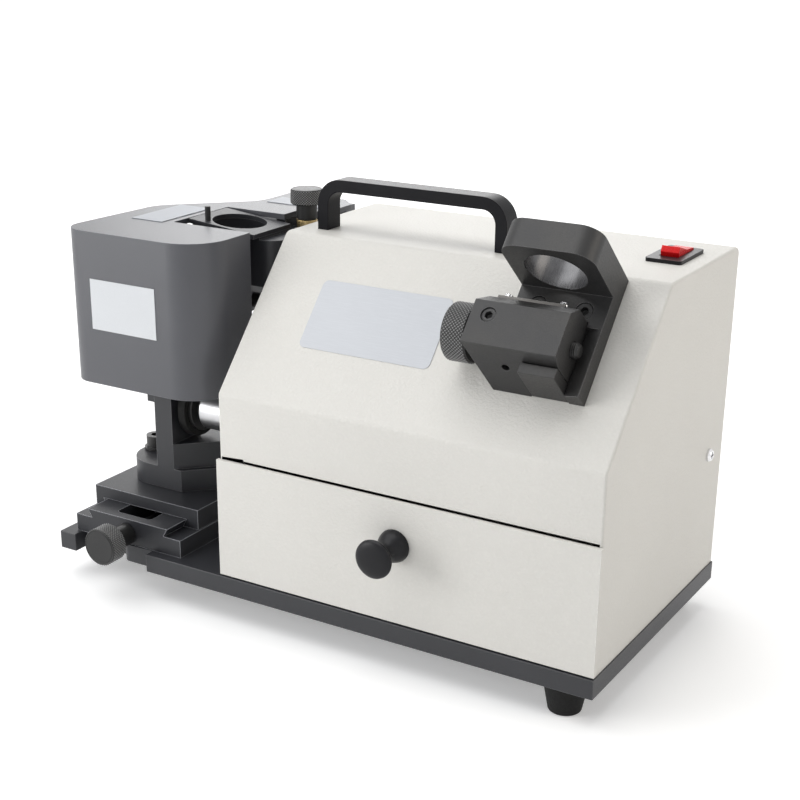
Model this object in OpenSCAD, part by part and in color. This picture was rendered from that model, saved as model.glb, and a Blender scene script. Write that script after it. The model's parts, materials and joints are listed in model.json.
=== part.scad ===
// Bench grinder for re-sharpening end mills: a sheet housing with a drawer and a drive inside,
// a cross slide with the tool head and its hood on the left, and a tool setter on the slope.
// X runs along the front, Y to the back and Z up. Sizes are in millimetres.

/* [Base plate] */
// Length of the base plate
plate_l = 384; // [376:1:400]
// Depth of the base plate
plate_d = 184; // [182:1:196]
// Thickness of the base plate
plate_t = 12; // [8:1:16]
// How far the plate shows past the housing's right side
plate_side_lip = 1; // [0.5:0.5:4]
// How far the plate shows in front of the housing
plate_front_lip = 3.7; // [3.4:0.1:6]
// Depth of the notch in the plate's front left edge
notch_d = 6.3; // [4:0.1:6.6]

/* [Rubber feet] */
// Diameter of a foot at its top
foot_top_dia = 26; // [20:1:30]
// Diameter of a foot at its bottom
foot_low_dia = 19; // [15:1:24]
// Height of a foot
foot_h = 18; // [12:1:25]
// Distance of a foot's centre from the plate's ends
foot_inset_x = 22; // [16:1:28]
// Distance of a foot's centre from the plate's front and back
foot_inset_y = 14; // [14:1:20]
// Distance of the front left foot from the plate's front
foot_left_inset_y = 56; // [48:1:70]

/* [Housing] */
// Length of the housing
housing_l = 250; // [246:1:258]
// Depth of the housing
housing_d = 181; // [178:1:190]
// Height of the housing above the plate
housing_h = 202.5; // [198:0.5:212]
// Height at which the front slope starts
slope_low_h = 118; // [112:1:124]
// How far the slope runs back to the flat top
slope_run = 74.3; // [70:0.1:78]
// Thickness of the sheet
sheet_t = 1.6; // [1:0.1:2]
// Radius of the sheet's bends
bend_r = 5; // [3:0.5:8]
// Height of the drawer's opening
drawer_open_h = 78.3; // [74:0.1:84]

/* [Carrying handle] */
// Distance between the handle's legs
handle_pitch = 122; // [110:1:130]
// Height of the handle above the housing
handle_h = 31.5; // [26:0.5:40]
// Thickness of the handle's bar
handle_t = 7.5; // [6:0.5:10]
// Width of the handle's bar
handle_w = 14; // [10:1:18]
// Outer radius of the handle's corners
handle_r = 16; // [12:1:20]

/* [Rocker switch] */
// Width of the switch's bezel
bezel_w = 21.5; // [18:0.5:26]
// Length of the switch's bezel
bezel_l = 37.5; // [34:0.5:44]
// Width of the rocker
rocker_w = 11; // [9:0.5:13]
// Length of the rocker
rocker_l = 25; // [20:0.5:28]
// Angle at which the rocker stands
rocker_tilt = 11; // [6:1:12]

/* [Drawer] */
// Free depth behind the drawer's tray
drawer_behind = 71; // [67:1:101]
// Height of the drawer's tray
tray_h = 46; // [30:1:54]
// Thickness of the drawer's front
front_t = 2.6; // [2:0.1:3]
// Diameter of the drawer knob's head
drawer_knob_dia = 23.5; // [18:0.5:28]
// How far the drawer knob stands out of the front
drawer_knob_l = 25.5; // [20:0.5:27]

/* [Drive] */
// Diameter of the grinding wheel
wheel_dia = 40; // [36:0.5:42]
// Width of the grinding wheel
wheel_w = 5.8; // [5:0.1:6.5]
// Height of the spindle above the plate
spindle_h = 80.6; // [79:0.1:84]
// Distance of the spindle behind the housing's front
spindle_y = 65; // [62:0.5:68]
// Diameter of the spindle's sleeve
sleeve_dia = 28; // [24:0.5:30]
// Diameter of the spindle
spindle_dia = 12; // [10:0.5:14]
// Diameter of the motor
motor_dia = 86; // [76:1:90]
// Length of the motor's body
motor_l = 96; // [80:1:110]
// Pitch diameter of the motor's pulley
motor_pulley_dia = 44; // [36:1:48]
// Pitch diameter of the spindle's pulley
spindle_pulley_dia = 28; // [24:1:30]
// Width of the belt
belt_w = 8; // [6:0.5:10]
// Thickness of the belt
belt_t = 3; // [2:0.5:4]

/* [Cross slide] */
// Width of the cross slide
slide_w = 86; // [80:1:88]
// Length of the cross slide
slide_l = 80; // [74:1:88]
// Height of the rail's flange
flange_h = 12; // [10:0.5:14]
// Height of the dovetail
dovetail_h = 5.5; // [4.5:0.5:6.5]
// Width of the dovetail at its top
dovetail_top_w = 66.5; // [60:0.5:68]
// Slant of the dovetail's sides
dovetail_angle = 60; // [55:1:65]
// Thickness of the slide above the dovetail
slide_top_t = 8.2; // [6:0.1:10]
// Diameter of the feed screw
feed_screw_dia = 8; // [6:0.5:9]
// Diameter of the feed knob
feed_knob_dia = 25; // [20:1:30]
// Length of the feed knob
feed_knob_l = 12; // [8:1:16]

/* [Tool head] */
// Bore of the tool socket and of the setter's ring
tool_bore = 35; // [30:0.5:36]
// Tilt of the tool socket
socket_tilt = 5.6; // [3:0.1:7]
// Length of the socket plate
socket_plate_l = 51; // [48:0.5:54]
// Width of the socket plate
socket_plate_w = 40; // [38.5:0.5:42]
// Thickness of the socket plate
socket_plate_t = 3; // [2.5:0.5:5]
// Width of the upright
upright_w = 14; // [11:0.5:14.5]
// Depth of the upright's column
upright_d = 30; // [26:1:32]
// Diameter of the thumb screw's head
thumb_dia = 21; // [16:1:22]

/* [Hood] */
// Width of the hood
hood_w = 109.5; // [104:0.5:112]
// Height of the hood
hood_h = 97.6; // [90:0.1:100]
// Thickness of the hood's walls
hood_t = 3.5; // [2.5:0.5:4]
// Radius of the hood's front right corner
hood_big_r = 27; // [18:1:30]
// Radius of the hood's front left corner
hood_small_r = 15; // [10:0.5:18]

/* [Tool setter] */
// Width of the setter's bracket
setter_w = 54; // [50:1:58]
// Length of the setter's bracket along the slope
setter_l = 76.2; // [74:0.1:80]
// Thickness of the setter's base
setter_base_t = 12; // [9:0.5:13]
// Thickness of the setter's ring flange
ring_t = 17; // [12:0.5:18]
// Height of the ring flange above the slope
ring_h = 56; // [53:0.5:60]
// Height of the ring's bore above the slope
ring_bore_h = 32; // [31:0.5:34]
// Height of the stop block above the slope
stop_h = 35.5; // [33:0.5:38]
// Diameter of the setter's knob
setter_knob_dia = 33; // [26:1:34]
// Length of the setter's knob
setter_knob_l = 15; // [10:0.5:18]

/* [Hidden] */
$fn = 64;

// Shared clearances and overruns
gap = 0.3;
run_fit = 0.05;
screw_fit = 0.15;
over = 1;
arc_steps = 8;

// Screw sizes: shank diameter, head diameter, head height
m3 = [3, 5.5, 1.6];
m4 = [4, 8, 2.6];
m5 = [5, 8.5, 5];
m6 = [6, 10, 6];
m8 = [8, 13, 8];
socket_share = 0.55;

// Where the origin lies: below the middle of the whole part
plate_x1 = plate_side_lip;
plate_x0 = plate_x1 - plate_l;
plate_y0 = -plate_front_lip;
plate_y1 = plate_y0 + plate_d;
stand_h = foot_h + plate_t;
tray_d = housing_d - drawer_behind;
knob_front_y = -front_t - gap - drawer_knob_l;
inlet_lip = 3;
part_back_y = max(plate_y1, housing_d + inlet_lip + m3[2]);
part_right_x = max(plate_x1, m4[2]);
origin_x = (plate_x0 + part_right_x) / 2;
origin_y = (knob_front_y + part_back_y) / 2;

// Notch in the plate's front left edge, with a deeper part
tongue_l = 13;
notch_l = 60;
deep_l = 35;
deep_d = 14;
deep_r = 2;
nose_r = 5.5;

// Slope of the housing's front
slope_angle = atan2(housing_h - slope_low_h, slope_run);

// Handle
handle_y = 95;
handle_mid_x = -171.2;
handle_screw_l = 12;

// Rocker switch
switch_x = -22.2;
switch_back = 47.5;
switch_y = housing_d - switch_back;
rocker_shift = 2.8;
bezel_t = 2.2;
bezel_r = 2;
switch_deep = 24;
switch_body_w = 13.4;
rocker_y = switch_y + rocker_shift;
rocker_top = 7;
rocker_dip = 1.2;
rocker_drop = 3.5;
rocker_pin_dia = 3;
rocker_sink = 1.5;
rocker_pivot_z = housing_h - rocker_sink;
rocker_slot_d = 12;

// Blank plate on the slope
name_x = -165;
name_w = 88;
name_s0 = 38.8;
name_h = 45;
name_t = 0.4;
name_r = 4;

// Power inlet in the back
inlet_x = -40;
inlet_z = 40;
inlet_w = 48;
inlet_h = 28;
inlet_hole_w = 24;
inlet_hole_h = 17;
inlet_deep = 16;
inlet_body_w = 27;
inlet_body_h = 20;
inlet_r = 4;
inlet_pin = [2, 4, 12];
inlet_pin_step = 7;
inlet_pin_rise = 3;
inlet_screw_pitch = 40;

// Housing screws on both side walls
side_screw_back = 25;
side_screw_y = housing_d - side_screw_back;
side_screw_z = 79.4;
side_screw_l = 6;

// Drive
motor_back = 53;
motor_under = 62.5;
motor_y = housing_d - motor_back;
motor_z = housing_h - motor_under;
stand_top_t = 6;
stand_side_t = 4;
stand_front = 38;
stand_back = 11;
stand_clear = 12;
stand_y0 = motor_y - stand_front;
stand_y1 = housing_d - stand_back;
stand_leg_y0 = tray_d + stand_clear;
stand_foot_w = 14;
stand_foot_t = 4;
motor_pad_w = 60;
belt_x = -219;
pulley_rims = 4;
motor_clear = 14;
pulley_w = belt_w + pulley_rims;
motor_x0 = belt_x + pulley_w / 2 + motor_clear;
motor_x1 = motor_x0 + motor_l;
cap_t = 10;
motor_shaft_dia = 12;
rotor_dia = 46;
rotor_gap = 0.6;
motor_shaft_tail = 16;
fan_dia = 60;
fan_t = 6;
fan_hub_dia = 20;
fan_blades = 8;
fan_blade_t = 2;
capacitor_dia = 30;
capacitor_l = 60;
capacitor_back = 31;
capacitor_y = housing_d - capacitor_back;
capacitor_x = -60;
capacitor_strap_t = 2;
capacitor_foot = 6;
motor_bolt_share = 0.82;
sleeve_x0 = -306;
bracket_x0 = -246;
bracket_x1 = -229;
bracket_w = 46;
bracket_foot_w = 60;
bracket_foot_h = 12;
bearing_w = 8;
bearing_dia = 24;
bearing_ring = 2;
bearing_shield = 0.8;
flange_dia = 32;
flange_t = 2.5;
flange_boss_dia = 18;
flange_boss_l = 4.2;
nut_dia = 18;
nut_t = 2.8;
wheel_web_t = 2.8;
wheel_rim_w = 5;
spindle_step = 1.5;

// Drawer
front_gap = 1.5;
front_low = 1;
front_over = 0.7;
tray_side_gap = 26;
tray_right_gap = 10;
tray_low = 2.8;
tray_t = 1.2;
runner_t = 3.4;
runner_h = 14;
runner_ledge = 8;
runner_ledge_t = 2.5;
knob_x = -125;
knob_z = 49.8;
knob_base_dia = 20;
knob_base_t = 4;
knob_neck_dia = 9;
knob_head_t = 7.5;
knob_rim_r = 3;

// Rail, slide and feed screw
rail_x = -330.5;
rail_y0 = 3.5;
rail_y1 = 128;
rail_w = 87;
slide_y0 = 23;
rail_top = flange_h + dovetail_h;
slide_z0 = flange_h + gap;
slide_z1 = rail_top + gap + slide_top_t;
slot_half = 14;
slot_r = 3;
slot_front = 6.5;
slot_back = 10;
slot_y0 = rail_y0 + slot_front;
slot_y1 = rail_y1 - slot_back;
feed_z = 7.5;
feed_journal_back = 3;
feed_journal_y1 = rail_y1 - feed_journal_back;
feed_collar_dia = 13;
feed_collar_t = 3;
feed_neck_dia = 14.4;
feed_face_y = -24;
gib_t = 3;
gib_screw_n = 3;
nut_l = 24;
nut_half = 10;
nut_low = 2.2;
rail_screw_x = 38;
rail_screw_y_in = 32;

// Upright and its foot
upright_x0 = -335;
upright_y0 = 42;
foot_z0 = slide_z1 + gap;
foot_plate_t = 15;
foot_x0 = -365;
foot_x1 = -315.3;
foot_flare = 42;
foot_y1 = 96;
foot_r = 22;
foot_small_r = 5;
swivel_x = -347;
swivel_y = 86;
swivel_dia = 10;
clamp_x = -357;
clamp_y = 68;
clamp_slot_w = 9;
clamp_slot_angle = 12;
washer_t = 1.6;
washer_dia = 16;
wing_under = 12.5;
wing_h = 62;
wing_z1 = housing_h - wing_under;
wing_z0 = wing_z1 - wing_h;
shoulder_flare = 40;
shoulder_y1 = 90;
wheel_room = 2;
lug_w = 6;
lug_d = 8;
lug_in = 0.5;
lug_z0 = 85.2;
lug_h = 27;
wing_y1 = 150;
wing_r = 16;

// Head block and socket
socket_x = -298;
socket_y = 91.2;
socket_under = 2.5;
head_under = 9.5;
head_h = 30;
socket_z = housing_h - socket_under;
head_z1 = housing_h - head_under;
head_z0 = head_z1 - head_h;
head_x1 = -259;
head_y0 = 78;
head_y1 = 150;
head_r = 14;
head_boss_dia = 45;
head_front_x = 15;
head_bore_room = 2;
wedge_in = 1;
head_bore = tool_bore + head_bore_room;
wedge_l = socket_plate_l - wedge_in;
wedge_w = socket_plate_w - wedge_in;
wedge_deep = 14;
thumb_x = -266.8;
thumb_y = 121.5;
thumb_neck_dia = 13.5;
thumb_neck_h = 9.8;
thumb_head_h = 9.5;
thumb_shank_l = 14;
thumb_rim = 1.2;
ring_rise = 6.5;
rest_x0 = -287;
rest_x1 = -279.5;
rest_y0 = 116;
rest_y1 = 130;
pin_dia = 3.6;
pin_h = 9;
pin_x = -312.5;
pin_y = 77;
pin_deep = 5;
small_pin_dia = 2.4;
small_pin_x = -319.5;
small_pin_y = 84;
head_screw_y = [118, 140];
head_screw_z = (head_z0 + head_z1) / 2;
head_screw_l = 20;

// Hood
hood_x0 = -374.5;
hood_x1 = hood_x0 + hood_w;
hood_y0 = 7;
hood_z1 = housing_h;
hood_z0 = hood_z1 - hood_h;
hood_wall_y1 = 84;
hood_side_y1 = 57;
cut_x0 = -324.4;
cut_y1 = 113.6;
notch_x0 = -279;
notch_y1 = 133.6;
arm_x1 = -260;
arm_x0 = -318;
arm_y1 = 176;
arm_cut = 12;
hood_back_x = -368;
hood_back_y = 93;
hood_back_r = 24;
arm_back_y = 143;
hinge_y = 170;
hinge_under = 5;
hinge_z = hood_z1 - hood_t - hinge_under;
hinge_pin_dia = 5;
knuckle_dia = 10;
knuckle_l = 12;
hinge_x0 = -314;
hinge_x1 = -264;
hinge_web_t = 6;
hood_plate_t = 0.4;
hood_front_plate = [51, 32];
hood_front_plate_under = 45.5;
hood_front_plate_at = [-326.2, hood_z1 - hood_front_plate_under];
hood_top_plate = [24.5, 50];
hood_top_plate_at = [-342, 77];
hood_arm_plate = [42, 18];
hood_arm_plate_at = [-291, 150];

// Tool setter, in the slope's own directions: along X, up the slope and out of it
setter_x1 = -24.5;
setter_x0 = setter_x1 - setter_w;
setter_s0 = 34.3;
setter_s1 = setter_s0 + setter_l;
ring_r = 11.5;
ring_mid_x = (setter_x0 + setter_x1) / 2;
stop_x1 = -33.6;
stop_lean = 10.7;
stop_s1 = 77;
stop_low_s = 44.5;
stop_cut = [7, 9];
stop_axis_s = 57.4;
stop_axis_h = 17.5;
stop_screw_dia = 9;
stop_screw_out = 4;
jaw_w = 21.4;
jaw_front = 0.3;
jaw_t = 6.9;
jaw_lean = 0.9;
jaw_h = 28;
setter_knob_gap = 1.2;
set_screw_s = 62;
set_screw_x = -78.7;
set_screw_dia = 8.6;
set_screw_deep = 6;
strip_t = 2;
strip_h0 = 14;
strip_h1 = 25.5;
strip_x0 = -82.5;
strip_x1 = -43;
strip_pin_dia = 4;
strip_pin_l = 1.5;
strip_pin_x = [-77, -45.5];
strip_pin_h = 23;
relief_low = 1;
relief_rim = 0.8;
relief_s1 = 74;
setter_screw_s = 83.2;
setter_screw_in = 13.4;

// Paint and metal colours, as the object shows them
white_paint = [0.93, 0.92, 0.88];
dark_paint = [0.24, 0.24, 0.26];
black_oxide = [0.13, 0.13, 0.14];
black_plastic = [0.07, 0.07, 0.08];
bright_steel = [0.75, 0.76, 0.78];
silver_film = [0.78, 0.80, 0.84];
rubber_black = [0.05, 0.05, 0.05];
switch_red = [0.85, 0.08, 0.06];
brass_yellow = [0.78, 0.65, 0.38];
cast_grey = [0.45, 0.46, 0.48];
wheel_grey = [0.16, 0.16, 0.165];

// Points of a rounded corner at b, between a and c
function corner(a, b, c, r) =
    let (to_a = (a - b) / norm(a - b), to_c = (c - b) / norm(c - b))
    let (half = acos(to_a * to_c) / 2, away = (to_a + to_c) / norm(to_a + to_c))
    let (mid = b + away * r / sin(half), from = b + to_a * r / tan(half) - mid)
    let (to = b + to_c * r / tan(half) - mid, start = atan2(from.y, from.x))
    let (turn = (atan2(to.y, to.x) - start + 540) % 360 - 180)
    [for (i = [0 : arc_steps]) mid + r * [cos(start + turn * i / arc_steps),
        sin(start + turn * i / arc_steps)]];

// An outline with each corner rounded by its own radius
function rounded(points, radii) =
    let (n = len(points))
    [for (i = [0 : n - 1]) each radii[i] > 0
        ? corner(points[(i + n - 1) % n], points[i], points[(i + 1) % n], radii[i])
        : [points[i]]];

// A rectangle about the middle, with rounded corners
module round_rect(w, d, r) {
    square([w - 2 * r, d], center = true);
    square([w, d - 2 * r], center = true);
    for (sx = [-1, 1], sy = [-1, 1]) translate([sx * (w / 2 - r), sy * (d / 2 - r)]) circle(r);
}

// Moves a shape whose X, Y, Z are along X, up the slope and out of it onto the slope
module on_slope() {
    translate([0, 0, slope_low_h]) rotate([slope_angle, 0, 0]) children();
}

// Turns a shape with its axis along Z so that the axis runs along X
module along_x() {
    rotate([0, 90, 0]) children();
}

// Turns a shape with its axis along Z so that the axis runs towards the front
module to_front() {
    rotate([90, 0, 0]) children();
}

// A round bar along X
module bar_x(x0, x1, dia) {
    translate([x0, 0, 0]) along_x() cylinder(h = x1 - x0, d = dia);
}

// A socket head screw that points down from the height 0, with its head above
module socket_screw(size, l) {
    difference() {
        union() {
            translate([0, 0, -l]) cylinder(h = l + over, d = size[0]);
            cylinder(h = size[2], d = size[1]);
        }
        translate([0, 0, size[2] - size[2] * socket_share])
            cylinder(h = size[2], d = size[1] * socket_share, $fn = 6);
    }
}

// A pan head screw that points down from the height 0, with a cross recess
module pan_screw(size, l) {
    cross_w = size[0] / 5;
    cross_l = size[1] * socket_share;
    difference() {
        union() {
            translate([0, 0, -l]) cylinder(h = l + size[2] / 2, d = size[0]);
            cylinder(h = size[2] / 2, d = size[1]);
            translate([0, 0, size[2] / 2]) cylinder(h = size[2] / 2, d1 = size[1], d2 = size[1] * 3 / 4);
        }
        for (turn = [0, 90])
            rotate([0, 0, turn]) translate([-cross_l / 2, -cross_w / 2, size[2] / 2]) cube([cross_l,
                cross_w, size[2]]);
    }
}

// Places a child at each rubber foot, at the plate's underside
module at_feet() {
    left = plate_x0 + foot_inset_x;
    right = plate_x1 - foot_inset_x;
    back = plate_y1 - foot_inset_y;
    for (at = [[left, plate_y0 + foot_left_inset_y], [right, plate_y0 + foot_inset_y], [left, back],
        [right, back]])
        translate([at.x, at.y, -plate_t]) children();
}

// Base plate, feet and their screws
module base_plate() {
    cut_x0 = plate_x0 + tongue_l;
    cut_x1 = cut_x0 + notch_l;
    deep_x1 = cut_x0 + deep_l;
    outline = rounded([[plate_x0, plate_y0], [cut_x0, plate_y0], [cut_x0, plate_y0 + deep_d],
        [deep_x1, plate_y0 + deep_d], [deep_x1, plate_y0 + notch_d], [cut_x1, plate_y0 + notch_d],
        [cut_x1, plate_y0], [plate_x1, plate_y0], [plate_x1, plate_y1], [plate_x0, plate_y1]],
        [0, 0, deep_r, deep_r, nose_r, 0, 0, 0, 0, 0]);
    color(dark_paint) difference() {
        translate([0, 0, -plate_t]) linear_extrude(plate_t) polygon(outline);
        at_feet() translate([0, 0, -over]) cylinder(h = plate_t * 3 / 4 + gap + over,
            d = m5[0] + 2 * screw_fit);
    }
}

module rubber_feet() {
    color(rubber_black) at_feet() difference() {
        translate([0, 0, -foot_h]) cylinder(h = foot_h, d1 = foot_low_dia, d2 = foot_top_dia);
        translate([0, 0, -foot_h - over]) cylinder(h = foot_h + 2 * over, d = m5[0] + 2 * screw_fit);
        translate([0, 0, -foot_h - over]) cylinder(h = foot_h * 2 / 3 + over, d = m5[1] + 2 * screw_fit);
    }
}

module foot_screws() {
    color(bright_steel) at_feet() translate([0, 0, -foot_h / 3])
        mirror([0, 0, 1]) socket_screw(m5, foot_h / 3 + plate_t * 3 / 4);
}

// Sheet housing, its screws and what stands on it
function housing_outline(inset) =
    let (low = inset > 0 ? -over : 0, rise = tan(slope_angle), shift = inset / cos(slope_angle))
    let (front_z = slope_low_h + inset * rise - shift)
    let (top_y = (housing_h - inset - slope_low_h + shift) / rise)
    let (r = bend_r - inset)
    rounded([[inset, low], [housing_d - inset, low], [housing_d - inset, housing_h - inset],
        [top_y, housing_h - inset], [inset, front_z]], [0, 0, r, r, r]);

// Extrudes an outline in Y and Z along X
module extrude_x(x0, x1) {
    translate([x0, 0, 0]) rotate([90, 0, 90]) linear_extrude(x1 - x0) children();
}

module housing() {
    color(white_paint) difference() {
        union() {
            difference() {
                extrude_x(-housing_l, 0) polygon(housing_outline(0));
                extrude_x(-housing_l + sheet_t, -sheet_t) polygon(housing_outline(sheet_t));
            }
        }
        translate([-housing_l + sheet_t, -over, -over])
            cube([housing_l - 2 * sheet_t, sheet_t + 2 * over, drawer_open_h + over]);
        translate([-housing_l - over, spindle_y, spindle_h])
            along_x() cylinder(h = sheet_t + 2 * over, d = sleeve_dia + 4 * gap);
        translate([switch_x - switch_body_w / 2 - gap, switch_y - (bezel_l - 2 * bezel_t) / 2 - gap,
            housing_h - sheet_t - over])
            cube([switch_body_w + 2 * gap, bezel_l - 2 * bezel_t + 2 * gap, sheet_t + 2 * over]);
        translate([inlet_x - inlet_body_w / 2 - gap, housing_d - sheet_t - over,
            inlet_z - inlet_body_h / 2 - gap])
            cube([inlet_body_w + 2 * gap, sheet_t + 2 * over, inlet_body_h + 2 * gap]);
        for (sx = [-1, 1]) translate([inlet_x + sx * inlet_screw_pitch / 2, housing_d + over, inlet_z])
            to_front() cylinder(h = sheet_t + 2 * over, d = m3[0] + 2 * screw_fit);
        for (x = handle_leg_x) translate([x, handle_y, housing_h - sheet_t - over])
            cylinder(h = sheet_t + 2 * over, d = m5[0] + 2 * screw_fit);
        for (x = [-housing_l - over, -sheet_t - over]) translate([x, side_screw_y, side_screw_z])
            along_x() cylinder(h = sheet_t + 2 * over, d = m4[0] + 2 * screw_fit);
    }
}

module housing_screws() {
    color(bright_steel) {
        translate([0, side_screw_y, side_screw_z]) along_x() pan_screw(m4, side_screw_l);
        translate([-housing_l, side_screw_y, side_screw_z]) rotate([0, -90, 0]) pan_screw(m4, side_screw_l);
    }
}

handle_leg_x = [handle_mid_x - handle_pitch / 2, handle_mid_x + handle_pitch / 2];

module handle() {
    w = handle_pitch + handle_t;
    inner_r = handle_r - handle_t;
    outer = rounded([[-w / 2, 0], [-w / 2, handle_h], [w / 2, handle_h], [w / 2, 0]], [0, handle_r,
        handle_r, 0]);
    inner = rounded([[handle_t - w / 2, -over], [handle_t - w / 2, handle_h - handle_t],
        [w / 2 - handle_t, handle_h - handle_t], [w / 2 - handle_t, -over]], [0, inner_r, inner_r, 0]);
    color(black_plastic) difference() {
        translate([handle_mid_x, handle_y + handle_w / 2, housing_h]) to_front() linear_extrude(handle_w)
            difference() {
            polygon(outer);
            polygon(inner);
        }
        for (x = handle_leg_x) translate([x, handle_y, housing_h - over])
            cylinder(h = handle_screw_l + over, d = m5[0]);
    }
}

module handle_screws() {
    color(bright_steel) for (x = handle_leg_x) translate([x, handle_y, housing_h - sheet_t])
        mirror([0, 0, 1]) socket_screw(m5, handle_screw_l + sheet_t - over);
}

// Rocker switch: a bezel with its body below the housing's top, and the rocker in it
module switch_body() {
    body_l = bezel_l - 2 * bezel_t;
    color(black_plastic) difference() {
        union() {
            translate([switch_x, switch_y, housing_h]) linear_extrude(bezel_t) round_rect(bezel_w, bezel_l,
                bezel_r);
            translate([switch_x - switch_body_w / 2, switch_y - body_l / 2, housing_h - switch_deep])
                cube([switch_body_w, body_l, switch_deep + bezel_t / 2]);
        }
        translate([switch_x - rocker_w / 2 - gap, rocker_y - rocker_l / 2 - 2 * gap,
            housing_h - rocker_slot_d])
            cube([rocker_w + 2 * gap, rocker_l + 4 * gap, rocker_slot_d + bezel_t + over]);
        translate([switch_x, rocker_y, rocker_pivot_z])
            bar_x(-switch_body_w, switch_body_w, rocker_pin_dia + 2 * run_fit);
    }
}

module rocker() {
    half = rocker_l / 2 - gap;
    top = half - rocker_dip;
    low = half * 2 / 3;
    color(switch_red) translate([switch_x, rocker_y, rocker_pivot_z]) rotate([-rocker_tilt, 0, 0]) {
        extrude_x(-rocker_w / 2, rocker_w / 2)
            polygon([[-top, rocker_top], [0, rocker_top - rocker_dip], [top, rocker_top], [half,
                rocker_top / 2],
                [low, -rocker_drop], [-low, -rocker_drop], [-half, rocker_top / 2]]);
        bar_x(-switch_body_w / 2, switch_body_w / 2, rocker_pin_dia);
    }
}

module nameplate() {
    color(silver_film) on_slope() translate([name_x, name_s0 + name_h / 2, 0])
        linear_extrude(name_t) round_rect(name_w, name_h, name_r);
}

// Mains inlet in the back wall
module power_inlet() {
    color(black_plastic) difference() {
        union() {
            translate([inlet_x, housing_d + inlet_lip, inlet_z]) to_front()
                linear_extrude(inlet_lip) round_rect(inlet_w, inlet_h, inlet_r);
            translate([inlet_x, housing_d + over, inlet_z]) to_front()
                linear_extrude(inlet_deep + over) square([inlet_body_w, inlet_body_h], center = true);
        }
        translate([inlet_x, housing_d + inlet_lip + over, inlet_z]) to_front()
            linear_extrude(inlet_deep + over) square([inlet_hole_w, inlet_hole_h], center = true);
        for (sx = [-1, 1]) translate([inlet_x + sx * inlet_screw_pitch / 2, housing_d + inlet_lip + over,
            inlet_z])
            to_front() cylinder(h = inlet_lip + 2 * over, d = m3[0] + 2 * screw_fit);
    }
    pin_y = housing_d + inlet_lip - inlet_deep - over / 2;
    color(bright_steel) for (i = [-1, 0, 1])
        translate([inlet_x + i * inlet_pin_step - inlet_pin[0] / 2, pin_y,
            inlet_z - inlet_pin[1] / 2 + (i == 0 ? inlet_pin_rise : -inlet_pin_rise)])
            cube([inlet_pin[0], inlet_pin[2], inlet_pin[1]]);
}

module inlet_screws() {
    color(bright_steel) for (sx = [-1, 1])
        translate([inlet_x + sx * inlet_screw_pitch / 2, housing_d + inlet_lip, inlet_z])
            rotate([-90, 0, 0]) pan_screw(m3, inlet_lip + 2 * sheet_t);
}

// Motor on its stand behind the drawer
stand_x0 = motor_x0 + cap_t;
stand_x1 = motor_x1 - cap_t;
stand_z1 = motor_z - motor_dia / 2;

module at_stand_feet() {
    for (x = [stand_x0 - stand_foot_w / 2, stand_x1 + stand_foot_w / 2],
        y = [stand_leg_y0 + stand_foot_w / 2, stand_y1 - stand_foot_w / 2])
        translate([x, y, stand_foot_t]) children();
}

module motor_stand() {
    color(dark_paint) difference() {
        union() {
            translate([stand_x0, stand_y0, stand_z1 - stand_top_t]) cube([stand_x1 - stand_x0,
                stand_y1 - stand_y0, stand_top_t]);
            for (x = [stand_x0, stand_x1 - stand_side_t])
                translate([x, stand_leg_y0, 0]) cube([stand_side_t, stand_y1 - stand_leg_y0,
                    stand_z1 - stand_top_t / 2]);
            for (x = [stand_x0 - stand_foot_w, stand_x1 - stand_side_t])
                translate([x, stand_leg_y0, 0]) cube([stand_foot_w + stand_side_t, stand_y1 - stand_leg_y0,
                    stand_foot_t]);
        }
        at_stand_feet() translate([0, 0, -stand_foot_t - over]) cylinder(h = stand_foot_t + 2 * over,
            d = m5[0] + 2 * screw_fit);
    }
}

module stand_screws() {
    color(bright_steel) at_stand_feet() socket_screw(m5, stand_foot_t);
}

module motor_body() {
    cradle = motor_pad_w / 2;
    sink = motor_dia / 2 - sqrt(pow(motor_dia / 2, 2) - pow(cradle, 2));
    color(cast_grey) difference() {
        union() {
            translate([0, motor_y, motor_z]) bar_x(motor_x0 + cap_t, motor_x1 - cap_t, motor_dia);
            translate([motor_x0 + cap_t, motor_y - cradle, stand_z1])
                cube([motor_l - 2 * cap_t, motor_pad_w, sink + over]);
        }
        translate([0, motor_y, motor_z]) bar_x(motor_x0, motor_x1, rotor_dia + 2 * rotor_gap);
        at_motor_bolts() bar_x(motor_x0, motor_x1, m4[0] + 2 * screw_fit);
    }
}

module motor_end_caps() {
    color(cast_grey) for (x = [motor_x0, motor_x1 - cap_t]) difference() {
        translate([0, motor_y, motor_z]) bar_x(x, x + cap_t, motor_dia);
        translate([0, motor_y, motor_z]) bar_x(x - over, x + cap_t + over, motor_shaft_dia + 2 * run_fit);
        at_motor_bolts() bar_x(motor_x0 - over, motor_x1 + over, m4[0] + 2 * screw_fit);
    }
}

module at_motor_bolts() {
    reach = motor_dia / 2 * motor_bolt_share;
    for (turn = [45 : 90 : 315]) translate([0, motor_y + reach * cos(turn), motor_z + reach * sin(turn)])
        children();
}

module motor_bolts() {
    color(bright_steel) at_motor_bolts() {
        bar_x(motor_x0 - over, motor_x1 + over, m4[0]);
        bar_x(motor_x0 - m4[2], motor_x0, m4[1]);
        translate([motor_x1, 0, 0]) along_x() cylinder(h = m4[2], d = m4[1], $fn = 6);
    }
}

module motor_capacitor() {
    color(silver_film) translate([0, capacitor_y, capacitor_foot + capacitor_dia / 2])
        bar_x(capacitor_x - capacitor_l / 2, capacitor_x + capacitor_l / 2, capacitor_dia);
    color(bright_steel) translate([capacitor_x - capacitor_foot, capacitor_y - capacitor_dia / 4, 0])
        cube([2 * capacitor_foot, capacitor_dia / 2, capacitor_foot + capacitor_strap_t]);
}

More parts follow.
